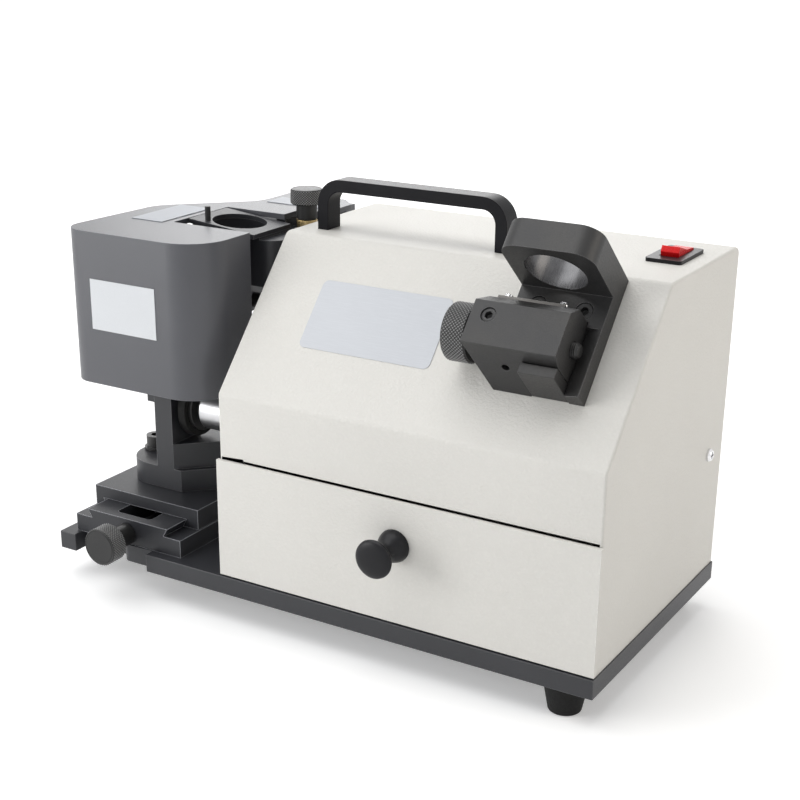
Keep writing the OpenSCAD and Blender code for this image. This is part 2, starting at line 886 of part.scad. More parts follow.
module motor_rotor() {
    color(bright_steel) translate([0, motor_y, motor_z]) {
        bar_x(belt_x - pulley_w / 2, motor_x1 + motor_shaft_tail, motor_shaft_dia);
        bar_x(motor_x0 + cap_t + gap, motor_x1 - cap_t - gap, rotor_dia);
    }
}

module motor_fan() {
    x0 = motor_x1 + motor_shaft_tail / 4;
    color(black_plastic) translate([0, motor_y, motor_z]) difference() {
        union() {
            bar_x(x0, x0 + fan_t + fan_blade_t, fan_hub_dia);
            bar_x(x0, x0 + fan_blade_t, fan_dia);
            for (i = [0 : fan_blades - 1]) rotate([i * 360 / fan_blades, 0, 0])
                translate([x0, -fan_blade_t / 2, 0]) cube([fan_t + fan_blade_t, fan_blade_t,
                    fan_dia / 2 - fan_blade_t]);
        }
        bar_x(x0 - over, x0 + fan_t + fan_blade_t + over, motor_shaft_dia);
    }
}

// A flanged pulley for the flat belt, with its bore
module pulley(dia, bore) {
    lip = (pulley_w - belt_w) / 2 - gap;
    bottom = dia - belt_t;
    difference() {
        union() {
            bar_x(belt_x - pulley_w / 2, belt_x + pulley_w / 2, bottom);
            bar_x(belt_x - pulley_w / 2, belt_x - pulley_w / 2 + lip, dia);
            bar_x(belt_x + pulley_w / 2 - lip, belt_x + pulley_w / 2, dia);
        }
        bar_x(belt_x - pulley_w, belt_x + pulley_w, bore);
    }
}

module motor_pulley() {
    color(bright_steel) translate([0, motor_y, motor_z]) pulley(motor_pulley_dia, motor_shaft_dia);
}

// The belt runs round both pulleys, just clear of them
belt_run = [motor_y - spindle_y, motor_z - spindle_h];
belt_span = norm(belt_run);
belt_turn = atan2(belt_run.y, belt_run.x);

// Outline of a tight loop round both pulleys, at a distance from their faces
function belt_loop(away) =
    let (big = (motor_pulley_dia - belt_t) / 2 + away, small = (spindle_pulley_dia - belt_t) / 2 + away)
    let (lean = acos((big - small) / belt_span), steps = 3 * arc_steps)
    concat([for (i = [0 : steps]) let (a = 180 - lean + 2 * lean * i / steps) small * [cos(a), sin(a)]],
        [for (i = [0 : steps]) let (a = lean - 180 + 2 * (180 - lean) * i / steps) [belt_span,
            0] + big * [cos(a), sin(a)]]);

module drive_belt() {
    color(rubber_black) translate([belt_x - belt_w / 2, spindle_y, spindle_h])
        rotate([90, 0, 90]) rotate([0, 0, belt_turn]) linear_extrude(belt_w) difference() {
            polygon(belt_loop(gap + belt_t));
            polygon(belt_loop(gap));
        }
}

// Spindle: bracket, sleeve, bearings, shaft and wheel
sleeve_x1 = belt_x - pulley_w / 2 - 2 * gap;

module spindle_bracket() {
    color(dark_paint) difference() {
        union() {
            translate([bracket_x0, spindle_y - bracket_w / 2, 0]) cube([bracket_x1 - bracket_x0, bracket_w,
                spindle_h]);
            translate([bracket_x0, spindle_y - bracket_foot_w / 2, 0])
                cube([bracket_x1 - bracket_x0, bracket_foot_w, bracket_foot_h]);
            translate([0, spindle_y, spindle_h]) bar_x(bracket_x0, bracket_x1, bracket_w);
        }
        translate([0, spindle_y, spindle_h]) bar_x(bracket_x0 - over, bracket_x1 + over, sleeve_dia);
    }
}

module spindle_sleeve() {
    color(bright_steel) translate([0, spindle_y, spindle_h]) difference() {
        bar_x(sleeve_x0 + gap, sleeve_x1, sleeve_dia);
        bar_x(sleeve_x0 - over, sleeve_x1 + over, bearing_dia - 2 * spindle_step);
        for (x = bearing_x) bar_x(x - over, x + bearing_w + over, bearing_dia);
    }
}

bearing_x = [sleeve_x0 + gap, sleeve_x1 - bearing_w];

module spindle_bearings() {
    color(bright_steel) translate([0, spindle_y, spindle_h]) for (x = bearing_x) difference() {
        bar_x(x, x + bearing_w, bearing_dia);
        bar_x(x - over, x + bearing_w + over, spindle_dia + 2 * run_fit);
        for (face = [x - over, x + bearing_w - bearing_shield]) difference() {
            bar_x(face, face + bearing_shield + over, bearing_dia - 2 * bearing_ring);
            bar_x(face - over, face + bearing_shield + 2 * over, spindle_dia + 2 * bearing_ring);
        }
    }
}

wheel_x1 = sleeve_x0 - flange_boss_l - flange_t;
wheel_x0 = wheel_x1 - wheel_w;

module spindle_shaft() {
    color(bright_steel) translate([0, spindle_y, spindle_h])
        bar_x(wheel_x1 - wheel_web_t - nut_t, belt_x + pulley_w / 2, spindle_dia);
}

module spindle_pulley() {
    color(bright_steel) translate([0, spindle_y, spindle_h]) pulley(spindle_pulley_dia, spindle_dia);
}

module wheel_flange() {
    color(black_oxide) translate([0, spindle_y, spindle_h]) difference() {
        union() {
            bar_x(wheel_x1, wheel_x1 + flange_t, flange_dia);
            bar_x(wheel_x1, sleeve_x0, flange_boss_dia);
        }
        bar_x(wheel_x1 - over, sleeve_x0 + over, spindle_dia);
    }
}

// A dish wheel: a web against the flange and a rim round the nut's recess
module grinding_wheel() {
    color(wheel_grey) translate([0, spindle_y, spindle_h]) difference() {
        bar_x(wheel_x0, wheel_x1, wheel_dia);
        bar_x(wheel_x0 - over, wheel_x1 - wheel_web_t, wheel_dia - 2 * wheel_rim_w);
        bar_x(wheel_x0, wheel_x1 + over, spindle_dia);
    }
}

module wheel_nut() {
    x1 = wheel_x1 - wheel_web_t;
    color(bright_steel) translate([0, spindle_y, spindle_h]) difference() {
        translate([x1 - nut_t, 0, 0]) along_x() cylinder(h = nut_t, d = nut_dia, $fn = 6);
        bar_x(x1 - nut_t - over, x1 + over, spindle_dia);
    }
}

// Drawer
tray_x0 = -housing_l + tray_side_gap;
tray_x1 = -tray_right_gap;
tray_y0 = -gap;

module drawer_runners() {
    color(bright_steel) for (side = [0, 1]) translate([side == 0 ? tray_x0 - gap : tray_x1 + gap, sheet_t,
        0])
        mirror([side, 0, 0]) {
            translate([-runner_t, 0, 0]) cube([runner_t, tray_d - sheet_t, runner_h]);
            translate([-runner_t, 0, 0]) cube([runner_t + runner_ledge, tray_d - sheet_t, runner_ledge_t]);
        }
}

module drawer_tray() {
    color(white_paint) translate([tray_x0, tray_y0, tray_low]) difference() {
        cube([tray_x1 - tray_x0, tray_d, tray_h]);
        translate([tray_t, tray_t, tray_t]) cube([tray_x1 - tray_x0 - 2 * tray_t, tray_d - 2 * tray_t,
            tray_h]);
    }
}

module drawer_front() {
    h = drawer_open_h - front_gap - front_low;
    color(white_paint) difference() {
        translate([-housing_l - front_over, -gap - front_t, front_low]) cube([housing_l + 2 * front_over,
            front_t, h]);
        translate([knob_x, over, knob_z]) to_front() cylinder(h = front_t + 2 * over, d = m4[0]);
    }
}

module drawer_knob() {
    head_r = drawer_knob_dia / 2;
    l = drawer_knob_l;
    color(black_plastic) translate([knob_x, -gap - front_t, knob_z]) to_front() {
        rotate_extrude() polygon(concat([[0, 0], [knob_base_dia / 2, 0], [knob_base_dia / 2,
            knob_base_t / 2],
            [knob_neck_dia / 2, knob_base_t * 2], [knob_neck_dia / 2, l - knob_head_t]],
            corner([knob_neck_dia / 2, l - knob_head_t], [head_r, l - knob_head_t], [head_r, l],
                knob_rim_r),
            corner([head_r, l - knob_head_t], [head_r, l], [0, l], knob_rim_r), [[0, l]]));
        translate([0, 0, -front_t]) cylinder(h = front_t + over, d = m4[0]);
    }
}

// Dovetail rail on the plate, with the slide on it
dovetail_lean = dovetail_h / tan(dovetail_angle);
dovetail_half = dovetail_top_w / 2;
slide_half = slide_w / 2;

module at_rail_screws() {
    for (sx = [-1, 1], y = [rail_y0 + rail_screw_y_in, rail_y1 - rail_screw_y_in])
        translate([rail_x + sx * rail_screw_x, y, flange_h - m4[2] - gap]) children();
}

module rail_base() {
    color(dark_paint) difference() {
        union() {
            translate([rail_x - rail_w / 2, rail_y0, 0]) cube([rail_w, rail_y1 - rail_y0, flange_h]);
            translate([rail_x, rail_y1, 0]) to_front() linear_extrude(rail_y1 - rail_y0)
                polygon([[-dovetail_half + dovetail_lean, flange_h - over], [dovetail_half - dovetail_lean,
                    flange_h - over],
                    [dovetail_half - dovetail_lean, flange_h], [dovetail_half, rail_top], [-dovetail_half,
                        rail_top],
                    [-dovetail_half + dovetail_lean, flange_h]]);
        }
        translate([rail_x, (slot_y0 + slot_y1) / 2, -over]) linear_extrude(rail_top + 2 * over)
            round_rect(2 * slot_half, slot_y1 - slot_y0, slot_r);
        translate([rail_x, feed_journal_y1, feed_z]) to_front()
            cylinder(h = feed_journal_y1 - rail_y0 + over, d = feed_screw_dia + 2 * run_fit);
        at_rail_screws() translate([0, 0, -flange_h]) cylinder(h = flange_h + over,
            d = m4[0] + 2 * screw_fit);
        at_rail_screws() cylinder(h = m4[2] + gap + over, d = m4[1] + 2 * screw_fit);
    }
}

module rail_screws() {
    color(black_oxide) at_rail_screws() socket_screw(m4, flange_h - m4[2] - gap);
}

module cross_slide() {
    ceiling = rail_top + gap;
    low = dovetail_half - dovetail_lean + gap;
    high = dovetail_half + gap;
    color(dark_paint) difference() {
        translate([rail_x - slide_half, slide_y0, slide_z0]) cube([slide_w, slide_l, slide_z1 - slide_z0]);
        translate([rail_x, slide_y0 + slide_l + over, 0]) to_front() linear_extrude(slide_l + 2 * over)
            polygon([[-low - gib_t, slide_z0 - over], [low, slide_z0 - over], [low, slide_z0],
                [high, ceiling], [-high - gib_t, ceiling], [-low - gib_t, slide_z0]]);
        at_gib_screws() bar_x(-over, slide_half, m4[0] + 2 * screw_fit);
        translate([clamp_x, clamp_y, slide_z1 - slide_top_t * 3 / 4]) cylinder(h = slide_top_t, d = m8[0]);
        translate([swivel_x, swivel_y, slide_z1 - slide_top_t * 3 / 4]) cylinder(h = slide_top_t,
            d = swivel_dia);
    }
}

// Places a child at each gib screw, on the slide's left side
module at_gib_screws() {
    for (i = [1 : gib_screw_n])
        translate([rail_x - slide_half, slide_y0 + slide_l * i / (gib_screw_n + 1),
            (slide_z0 + rail_top) / 2]) children();
}

module slide_gib() {
    low = dovetail_half - dovetail_lean + gap;
    high = low + dovetail_lean * (rail_top - slide_z0) / dovetail_h;
    color(bright_steel) translate([rail_x, slide_y0 + slide_l, 0]) to_front() linear_extrude(slide_l)
        polygon([[-low - gib_t, slide_z0], [-low - gap, slide_z0],
            [-high - gap, rail_top], [-high - gib_t, rail_top]]);
}

module gib_screws() {
    reach = slide_half - dovetail_half - gap - gib_t + dovetail_lean / 2;
    slant = m4[0] / 2 * dovetail_lean / dovetail_h;
    color(black_oxide) at_gib_screws() bar_x(0, reach - slant - gap, m4[0]);
}

module feed_nut() {
    y0 = slide_y0 + (slide_l - nut_l) / 2;
    color(brass_yellow) difference() {
        translate([rail_x - nut_half, y0, nut_low]) cube([2 * nut_half, nut_l, rail_top + gap - nut_low]);
        translate([rail_x, y0 + nut_l + over, feed_z]) to_front() cylinder(h = nut_l + 2 * over,
            d = feed_screw_dia + 2 * screw_fit);
    }
}

module feed_screw() {
    color(bright_steel) translate([rail_x, 0, feed_z]) {
        translate([0, feed_journal_y1 - gap, 0]) to_front()
            cylinder(h = feed_journal_y1 - gap - feed_face_y - feed_knob_l / 2, d = feed_screw_dia);
        translate([0, slot_y0 + gap + feed_collar_t, 0]) to_front() cylinder(h = feed_collar_t,
            d = feed_collar_dia);
    }
}

module feed_knob() {
    edge = feed_knob_dia / 20;
    color(black_oxide) translate([rail_x, feed_face_y, feed_z]) rotate([-90, 0, 0]) difference() {
        rotate_extrude() polygon([[0, 0], [feed_knob_dia / 2 - edge, 0], [feed_knob_dia / 2, edge],
            [feed_knob_dia / 2, feed_knob_l - edge], [feed_knob_dia / 2 - edge, feed_knob_l],
                [feed_neck_dia / 2, feed_knob_l],
            [feed_neck_dia / 2, rail_y0 - gap - feed_face_y], [0, rail_y0 - gap - feed_face_y]]);
        translate([0, 0, feed_knob_l / 2]) cylinder(h = rail_y0 - feed_face_y, d = feed_screw_dia);
    }
}

// Upright on its swivelling foot
// Points of an arc about a middle, and the points between its ends
function inner(points) = [for (i = [1 : len(points) - 2]) points[i]];
function arc(middle, r, from, to) =
    [for (i = [0 : arc_steps]) let (a = from + (to - from) * i / arc_steps) middle + r * [cos(a), sin(a)]];

// Outline of a curved slot about the swivel: at a distance, with a width, swung to both sides
function arc_slot(reach, w, swing) =
    let (centre = [0, 0], first = reach * [cos(swing), sin(swing)], last = reach * [cos(swing), -sin(swing)])
    concat(arc(centre, reach + w / 2, -swing, swing), inner(arc(first, w / 2, swing, swing + 180)),
        arc(centre, reach - w / 2, swing, -swing), inner(arc(last, w / 2, 180 - swing, 360 - swing)));

upright_x1 = upright_x0 + upright_w;

module upright() {
    reach = norm([clamp_x - swivel_x, clamp_y - swivel_y]);
    toward = atan2(clamp_y - swivel_y, clamp_x - swivel_x);
    foot_x2 = foot_x1 + foot_flare;
    shoulder_x2 = upright_x1 + shoulder_flare;
    shoulder_h = spindle_h - wheel_dia / 2 - wheel_room - foot_z0;
    column_y1 = upright_y0 + upright_d;
    foot_outline = rounded([[foot_x0, upright_y0], [foot_x1, upright_y0],
        [foot_x2, upright_y0 + foot_flare], [foot_x2, foot_y1], [foot_x0, foot_y1]],
        [foot_r, 0, foot_small_r, foot_small_r, foot_r]);
    shoulder = [[upright_x0, upright_y0], [upright_x1, upright_y0],
        [shoulder_x2, upright_y0 + shoulder_flare], [shoulder_x2, shoulder_y1], [upright_x0, shoulder_y1]];
    wing = rounded([[upright_y0, foot_z0], [column_y1, foot_z0], [column_y1, wing_z0], [wing_y1, wing_z0],
        [wing_y1, wing_z1], [upright_y0, wing_z1]], [0, 0, wing_r / 2, wing_r / 4, wing_r / 4, wing_r]);
    color(dark_paint) difference() {
        union() {
            translate([0, 0, foot_z0]) linear_extrude(foot_plate_t) polygon(foot_outline);
            translate([0, 0, foot_z0]) linear_extrude(shoulder_h) polygon(shoulder);
            translate([upright_x0 - lug_w, upright_y0 + lug_in, lug_z0]) cube([lug_w + over, lug_d, lug_h]);
            extrude_x(upright_x0, upright_x1) polygon(wing);
        }
        translate([swivel_x, swivel_y, foot_z0 - over]) cylinder(h = foot_plate_t + 2 * over,
            d = swivel_dia + 2 * run_fit);
        translate([swivel_x, swivel_y, foot_z0 - over]) rotate([0, 0, toward])
            linear_extrude(foot_plate_t + 2 * over) polygon(arc_slot(reach, clamp_slot_w, clamp_slot_angle));
        at_head_screws() bar_x(-over, upright_w + over, m6[0] + 2 * screw_fit);
    }
}

// Places a child at each screw that holds the head block, on the upright's left face
module at_head_screws() {
    for (y = head_screw_y) translate([upright_x0, y, head_screw_z]) children();
}

module swivel_bolts() {
    seat = foot_z0 + foot_plate_t + gap;
    color(black_oxide) {
        translate([clamp_x, clamp_y, seat + washer_t]) socket_screw(m8,
            seat + washer_t - slide_z1 + slide_top_t / 2);
        translate([clamp_x, clamp_y, seat]) difference() {
            cylinder(h = washer_t, d = washer_dia);
            translate([0, 0, -over]) cylinder(h = washer_t + 2 * over, d = m8[0]);
        }
        translate([swivel_x, swivel_y, seat])
            socket_screw([swivel_dia, m8[1], m8[2] / 2], seat - slide_z1 + slide_top_t / 2);
    }
}

// Places a child on the tilted axis of the tool socket, at the socket plate's top
module at_socket() {
    translate([socket_x, socket_y, socket_z]) rotate([0, socket_tilt, 0]) children();
}

module head_block() {
    bore_l = socket_z - head_z0 + wedge_deep;
    outline = rounded([[upright_x1, head_y0 + head_boss_dia], [socket_x, head_y0], [head_x1, head_y0],
        [head_x1, head_y1], [upright_x1, head_y1]],
        [0, 0, head_r, head_r / 2, 0]);
    color(dark_paint) difference() {
        union() {
            translate([0, 0, head_z0]) linear_extrude(head_z1 - head_z0) polygon(outline);
            translate([socket_x, socket_y, head_z0]) cylinder(h = head_z1 - head_z0, d = head_boss_dia);
            at_socket() translate([-wedge_l / 2, -wedge_w / 2, -socket_plate_t - wedge_deep])
                cube([wedge_l, wedge_w, wedge_deep]);
            translate([rest_x0, rest_y0, head_z1 - over])
                cube([rest_x1 - rest_x0, rest_y1 - rest_y0, hood_z1 - hood_t - gap - head_z1 + over]);
            hinge_web();
        }
        translate([upright_x1 - head_r, head_y0 - head_r, head_z0])
            cube([head_r, head_y1 - head_y0, head_z1 - head_z0 + wedge_deep]);
        translate([socket_x + head_front_x, head_y0 - wedge_w, head_z0 - over])
            cube([wedge_l, wedge_w, head_z1 - head_z0 + wedge_deep]);
        at_socket() translate([0, 0, -bore_l]) cylinder(h = bore_l + over, d = head_bore);
        translate([thumb_x, thumb_y, head_z1 - thumb_shank_l - over])
            cylinder(h = thumb_shank_l + 2 * over, d = m6[0] + 2 * run_fit);
        translate([0, hinge_y, hinge_z]) bar_x(hinge_x0 - over, hinge_x1 + over, hinge_pin_dia);
        for (at = [[pin_x, pin_y, pin_dia], [small_pin_x, small_pin_y, small_pin_dia]])
            translate([at[0], at[1], head_z1 - pin_deep]) cylinder(h = pin_deep + wedge_deep + over,
                d = at[2]);
        at_head_screws() bar_x(upright_w - over, upright_w + head_screw_l, m6[0]);
    }
}

// Middle knuckle of the hood's hinge, on a web behind the head block
module hinge_web() {
    x0 = hinge_x0 + knuckle_l + gap;
    x1 = hinge_x1 - knuckle_l - gap;
    translate([0, hinge_y, hinge_z]) bar_x(x0, x1, knuckle_dia - 4 * gap);
    translate([x0, head_y1 - over, hinge_z - knuckle_dia / 2 + 2 * gap])
        cube([x1 - x0, hinge_y - head_y1 + over, hinge_web_t]);
}

module head_screws() {
    color(black_oxide) at_head_screws() {
        bar_x(0, upright_w + head_screw_l - over, m6[0]);
        bar_x(-m6[2], 0, m6[1]);
    }
}

module socket_plate() {
    color(dark_paint) difference() {
        at_socket() translate([0, 0, -socket_plate_t]) linear_extrude(socket_plate_t)
            square([socket_plate_l, socket_plate_w], center = true);
        at_socket() translate([0, 0, -socket_plate_t - over]) cylinder(h = socket_plate_t + 2 * over,
            d = tool_bore);
        for (at = [[pin_x, pin_y, pin_dia], [small_pin_x, small_pin_y, small_pin_dia]])
            translate([at[0], at[1], head_z1]) cylinder(h = wedge_deep + over, d = at[2]);
    }
}

module index_pins() {
    rise = (socket_x - pin_x) * tan(socket_tilt);
    flush = (socket_x - small_pin_x) * tan(socket_tilt);
    color(bright_steel) {
        translate([pin_x, pin_y, head_z1 - pin_deep])
            cylinder(h = socket_z + rise + pin_h - head_z1 + pin_deep, d = pin_dia);
        translate([small_pin_x, small_pin_y, head_z1 - pin_deep])
            cylinder(h = socket_z + flush - head_z1 + pin_deep, d = small_pin_dia);
    }
}

// Knurled thumb screw on the head block, on a brass ring
module thumb_screw() {
    z0 = ring_rise + gap;
    z1 = z0 + thumb_neck_h;
    z2 = z1 + thumb_head_h;
    color(black_oxide) translate([thumb_x, thumb_y, head_z1]) {
        rotate_extrude() polygon([[0, z0], [thumb_neck_dia / 2, z0], [thumb_neck_dia / 2, z1],
            [thumb_dia / 2 - thumb_rim, z1],
            [thumb_dia / 2, z1 + thumb_rim], [thumb_dia / 2, z2 - thumb_rim], [thumb_dia / 2 - thumb_rim,
                z2], [0, z2]]);
        translate([0, 0, -thumb_shank_l]) cylinder(h = thumb_shank_l + z0 + over, d = m6[0]);
    }
}

module thumb_ring() {
    color(brass_yellow) translate([thumb_x, thumb_y, head_z1]) difference() {
        cylinder(h = ring_rise, d = thumb_neck_dia);
        translate([0, 0, -over]) cylinder(h = ring_rise + 2 * over, d = m6[0] + 2 * run_fit);
    }
}

module hinge_pin() {
    color(bright_steel) translate([0, hinge_y, hinge_z]) bar_x(hinge_x0, hinge_x1, hinge_pin_dia);
}

// Hood over the wheel, with a cut-out for the socket and an arm to the hinge
module hood() {
    outline = rounded([[hood_x0, hood_y0], [hood_x1, hood_y0], [hood_x1, hood_side_y1], [cut_x0,
        hood_side_y1], [cut_x0, cut_y1],
        [notch_x0, cut_y1], [notch_x0, notch_y1], [arm_x1, notch_y1], [arm_x1, arm_y1 - arm_cut],
            [arm_x1 - arm_cut, arm_y1],
        [arm_x0, arm_y1], [arm_x0, arm_back_y], [hood_back_x, hood_back_y]],
        [hood_small_r, hood_big_r, 0, 0, 0, 0, 0, 0, 0, 0, 0, hood_back_r, hood_back_r]);
    inside = rounded([[hood_x0 + hood_t, hood_y0 + hood_t], [hood_x1 - hood_t, hood_y0 + hood_t],
        [hood_x1 - hood_t, arm_y1 + over], [hood_back_x + hood_t, arm_y1 + over],
        [hood_back_x + hood_t, hood_back_y]],
        [hood_small_r - hood_t, hood_big_r - hood_t, 0, 0, 0]);
    color(dark_paint) difference() {
        union() {
            difference() {
                translate([0, 0, hood_z0]) linear_extrude(hood_h) polygon(outline);
                translate([0, 0, hood_z0 - over]) linear_extrude(hood_h - hood_t + over) polygon(inside);
                translate([hood_x0 - over, hood_wall_y1, hood_z0 - over])
                    cube([hood_w + arm_y1, arm_y1, hood_h - hood_t + over]);
            }
            for (x = [hinge_x0, hinge_x1 - knuckle_l]) {
                translate([0, hinge_y, hinge_z]) bar_x(x, x + knuckle_l, knuckle_dia);
                translate([x, hinge_y - knuckle_dia / 2, hinge_z]) cube([knuckle_l, knuckle_dia,
                    hood_z1 - hood_t / 2 - hinge_z]);
            }
        }
        translate([0, hinge_y, hinge_z]) bar_x(hinge_x0 - over, hinge_x1 + over,
            hinge_pin_dia + 2 * run_fit);
    }
}

// Blank plates on the hood
module hood_plates() {
    color(silver_film) {
        translate([hood_front_plate_at.x, hood_y0, hood_front_plate_at.y]) to_front()
            linear_extrude(hood_plate_t)
            square(hood_front_plate, center = true);
        translate([hood_top_plate_at.x, hood_top_plate_at.y, hood_z1]) linear_extrude(hood_plate_t)
            square(hood_top_plate, center = true);
        translate([hood_arm_plate_at.x, hood_arm_plate_at.y, hood_z1]) linear_extrude(hood_plate_t)
            square(hood_arm_plate, center = true);
    }
}

// Tool setter on the slope
module at_setter_screws() {
    for (x = [setter_x0 + setter_screw_in, setter_x1 - setter_screw_in])
        translate([x, setter_screw_s, setter_base_t - m6[2] - gap]) children();
}

// Extrudes an outline along the slope and out of it, from one X to another
module setter_profile(x0, x1) {
    translate([x0, 0, 0]) rotate([90, 0, 90]) linear_extrude(x1 - x0) children();
}

module setter_bracket() {
    ring = rounded([[setter_x0, 0], [setter_x1, 0], [setter_x1, ring_h], [setter_x0, ring_h]],
        [0, 0, ring_r, ring_r]);
    relief = [[stop_x1, relief_low], [stop_x1 + gap, relief_low], [setter_x1 - relief_rim, setter_base_t],
        [setter_x1 - relief_rim, setter_base_t + over], [stop_x1, setter_base_t + over]];
    color(black_oxide) on_slope() difference() {
        union() {
            translate([setter_x0, setter_s0, 0]) cube([setter_w, setter_l, setter_base_t]);
            translate([0, setter_s1, 0]) to_front() linear_extrude(ring_t) polygon(ring);
        }
        translate([ring_mid_x, setter_s1 + over, ring_bore_h]) to_front() cylinder(h = ring_t + 2 * over,
            d = tool_bore);
        translate([setter_x0 - over, setter_s0 - over, -over])
            cube([stop_x1 + gap - setter_x0 + over, stop_s1 - setter_s0 + over + gap,
                setter_base_t + 2 * over]);
        translate([0, relief_s1, 0]) to_front() linear_extrude(relief_s1 - setter_s0 + over) polygon(relief);
        at_setter_screws() {
            translate([0, 0, -setter_base_t]) cylinder(h = setter_base_t + over, d = m6[0] + 2 * screw_fit);
            cylinder(h = m6[2] + gap + over, d = m6[1] + 2 * screw_fit);
        }
    }
}

module setter_screws() {
    color(black_oxide) on_slope() at_setter_screws() socket_screw(m6, setter_base_t - m6[2] - gap);
}

module stop_block() {
    side = [[setter_s0, 0], [stop_s1, 0], [stop_s1, stop_h - stop_cut.y], [stop_s1 - stop_cut.x, stop_h],
        [stop_low_s, stop_h]];
    face = [[setter_x0, 0], [stop_x1, 0], [stop_x1, stop_h], [setter_x0 - stop_lean, stop_h]];
    color(black_oxide) on_slope() difference() {
        intersection() {
            setter_profile(setter_x0 - stop_lean - over, stop_x1) polygon(side);
            translate([0, stop_s1 + over, 0]) to_front() linear_extrude(stop_s1) polygon(face);
        }
        translate([0, stop_axis_s, stop_axis_h]) bar_x(setter_x0 - stop_lean - over, stop_x1 + over,
            stop_screw_dia + 2 * run_fit);
        translate([stop_x1 - jaw_w - gap, setter_s0 - over, -over])
            cube([jaw_w + gap + over, jaw_front + jaw_t + gap + over, stop_h + 2 * over]);
        translate([set_screw_x, set_screw_s, stop_h - set_screw_deep]) cylinder(h = set_screw_deep + over,
            d = set_screw_dia);
    }
}

// Steel strip on the stop block's upper face, with its two pins
module stop_strip() {
    color(bright_steel) on_slope() {
        translate([strip_x0, stop_s1, strip_h0]) cube([strip_x1 - strip_x0, strip_t, strip_h1 - strip_h0]);
        for (x = strip_pin_x) translate([x, stop_s1 + strip_t + strip_pin_l, strip_pin_h]) to_front()
            cylinder(h = strip_pin_l + over, d = strip_pin_dia);
    }
}

// Upright jaw on the stop block's front, in its own seat
module stop_jaw() {
    s0 = setter_s0 + jaw_front;
    color(black_oxide) on_slope() setter_profile(stop_x1 - jaw_w, stop_x1)
        polygon([[s0, gap], [s0 + jaw_t, gap], [s0 + jaw_t, jaw_h], [s0 + jaw_lean, jaw_h]]);
}

module setter_knob() {
    lean_x = setter_x0 - stop_lean * (stop_axis_h + setter_knob_dia / 2) / stop_h;
    x1 = lean_x - setter_knob_gap;
    edge = setter_knob_dia / 22;
    r = setter_knob_dia / 2;
    color(black_oxide) on_slope() translate([0, stop_axis_s, stop_axis_h]) {
        translate([x1, 0, 0]) rotate([0, -90, 0]) rotate_extrude()
            polygon([[0, 0], [r - edge, 0], [r, edge], [r, setter_knob_l - edge], [r - edge,
                setter_knob_l], [0, setter_knob_l]]);
        bar_x(x1 - over, stop_x1 + stop_screw_out, stop_screw_dia);
    }
}

// Shifts the part from the housing's corner to its origin
module seat() {
    translate([-origin_x, -origin_y, stand_h]) children();
}

seat() base_plate();
seat() rubber_feet();
seat() foot_screws();
seat() housing();
seat() housing_screws();
seat() handle();
seat() handle_screws();
seat() switch_body();
seat() rocker();
seat() nameplate();
seat() power_inlet();
seat() inlet_screws();
seat() motor_stand();
seat() stand_screws();
seat() motor_body();
seat() motor_end_caps();
seat() motor_bolts();
seat() motor_capacitor();
seat() motor_rotor();
seat() motor_fan();
seat() motor_pulley();
seat() drive_belt();
seat() spindle_bracket();
seat() spindle_sleeve();
seat() spindle_bearings();
seat() spindle_shaft();
seat() spindle_pulley();
seat() grinding_wheel();
seat() wheel_flange();
seat() wheel_nut();
seat() drawer_runners();
seat() drawer_tray();
seat() drawer_front();
seat() drawer_knob();
seat() rail_base();
seat() rail_screws();
seat() cross_slide();
seat() slide_gib();
seat() gib_screws();
seat() feed_nut();
seat() feed_screw();
seat() feed_knob();
seat() upright();
seat() swivel_bolts();
seat() head_block();
seat() head_screws();
seat() socket_plate();
seat() index_pins();
seat() thumb_screw();
seat() thumb_ring();
seat() hinge_pin();
seat() hood();
seat() hood_plates();
seat() setter_bracket();
seat() setter_screws();
seat() stop_block();
seat() stop_strip();
seat() stop_jaw();
seat() setter_knob();
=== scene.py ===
# %% [markdown]
# # A bench grinder that re-sharpens end mills
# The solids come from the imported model, which is the fixed frame of this lesson: every piece is already in
# its place, in metres. Here each visible piece gets the softened edges, knurls and small parts that a milling
# machine or a press brake would leave, and every surface gets a finish made of nodes.

# %% Load the frame
import json
import math

import bpy
from mathutils import Matrix, Vector


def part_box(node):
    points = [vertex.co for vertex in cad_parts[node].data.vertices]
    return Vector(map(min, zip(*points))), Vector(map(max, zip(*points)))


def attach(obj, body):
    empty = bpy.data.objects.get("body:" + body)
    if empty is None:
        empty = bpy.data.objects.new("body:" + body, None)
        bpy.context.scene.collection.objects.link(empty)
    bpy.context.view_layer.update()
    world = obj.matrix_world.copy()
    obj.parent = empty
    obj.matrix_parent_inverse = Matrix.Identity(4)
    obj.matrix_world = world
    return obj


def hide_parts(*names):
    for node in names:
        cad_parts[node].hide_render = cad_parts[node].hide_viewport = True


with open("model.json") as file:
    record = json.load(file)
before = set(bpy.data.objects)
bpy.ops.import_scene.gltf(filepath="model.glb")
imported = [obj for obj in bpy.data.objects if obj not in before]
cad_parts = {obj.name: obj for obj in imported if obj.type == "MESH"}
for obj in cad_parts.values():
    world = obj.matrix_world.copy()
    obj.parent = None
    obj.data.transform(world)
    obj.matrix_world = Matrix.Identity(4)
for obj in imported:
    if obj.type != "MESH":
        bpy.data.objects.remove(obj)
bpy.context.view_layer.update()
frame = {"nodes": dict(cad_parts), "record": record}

# %% [markdown]
# ## Camera
# The photograph was taken from the right and a little above with a longish lens. A camera with the same place,
# lens and shift sees the same perspective, so the render can be laid over the photograph.

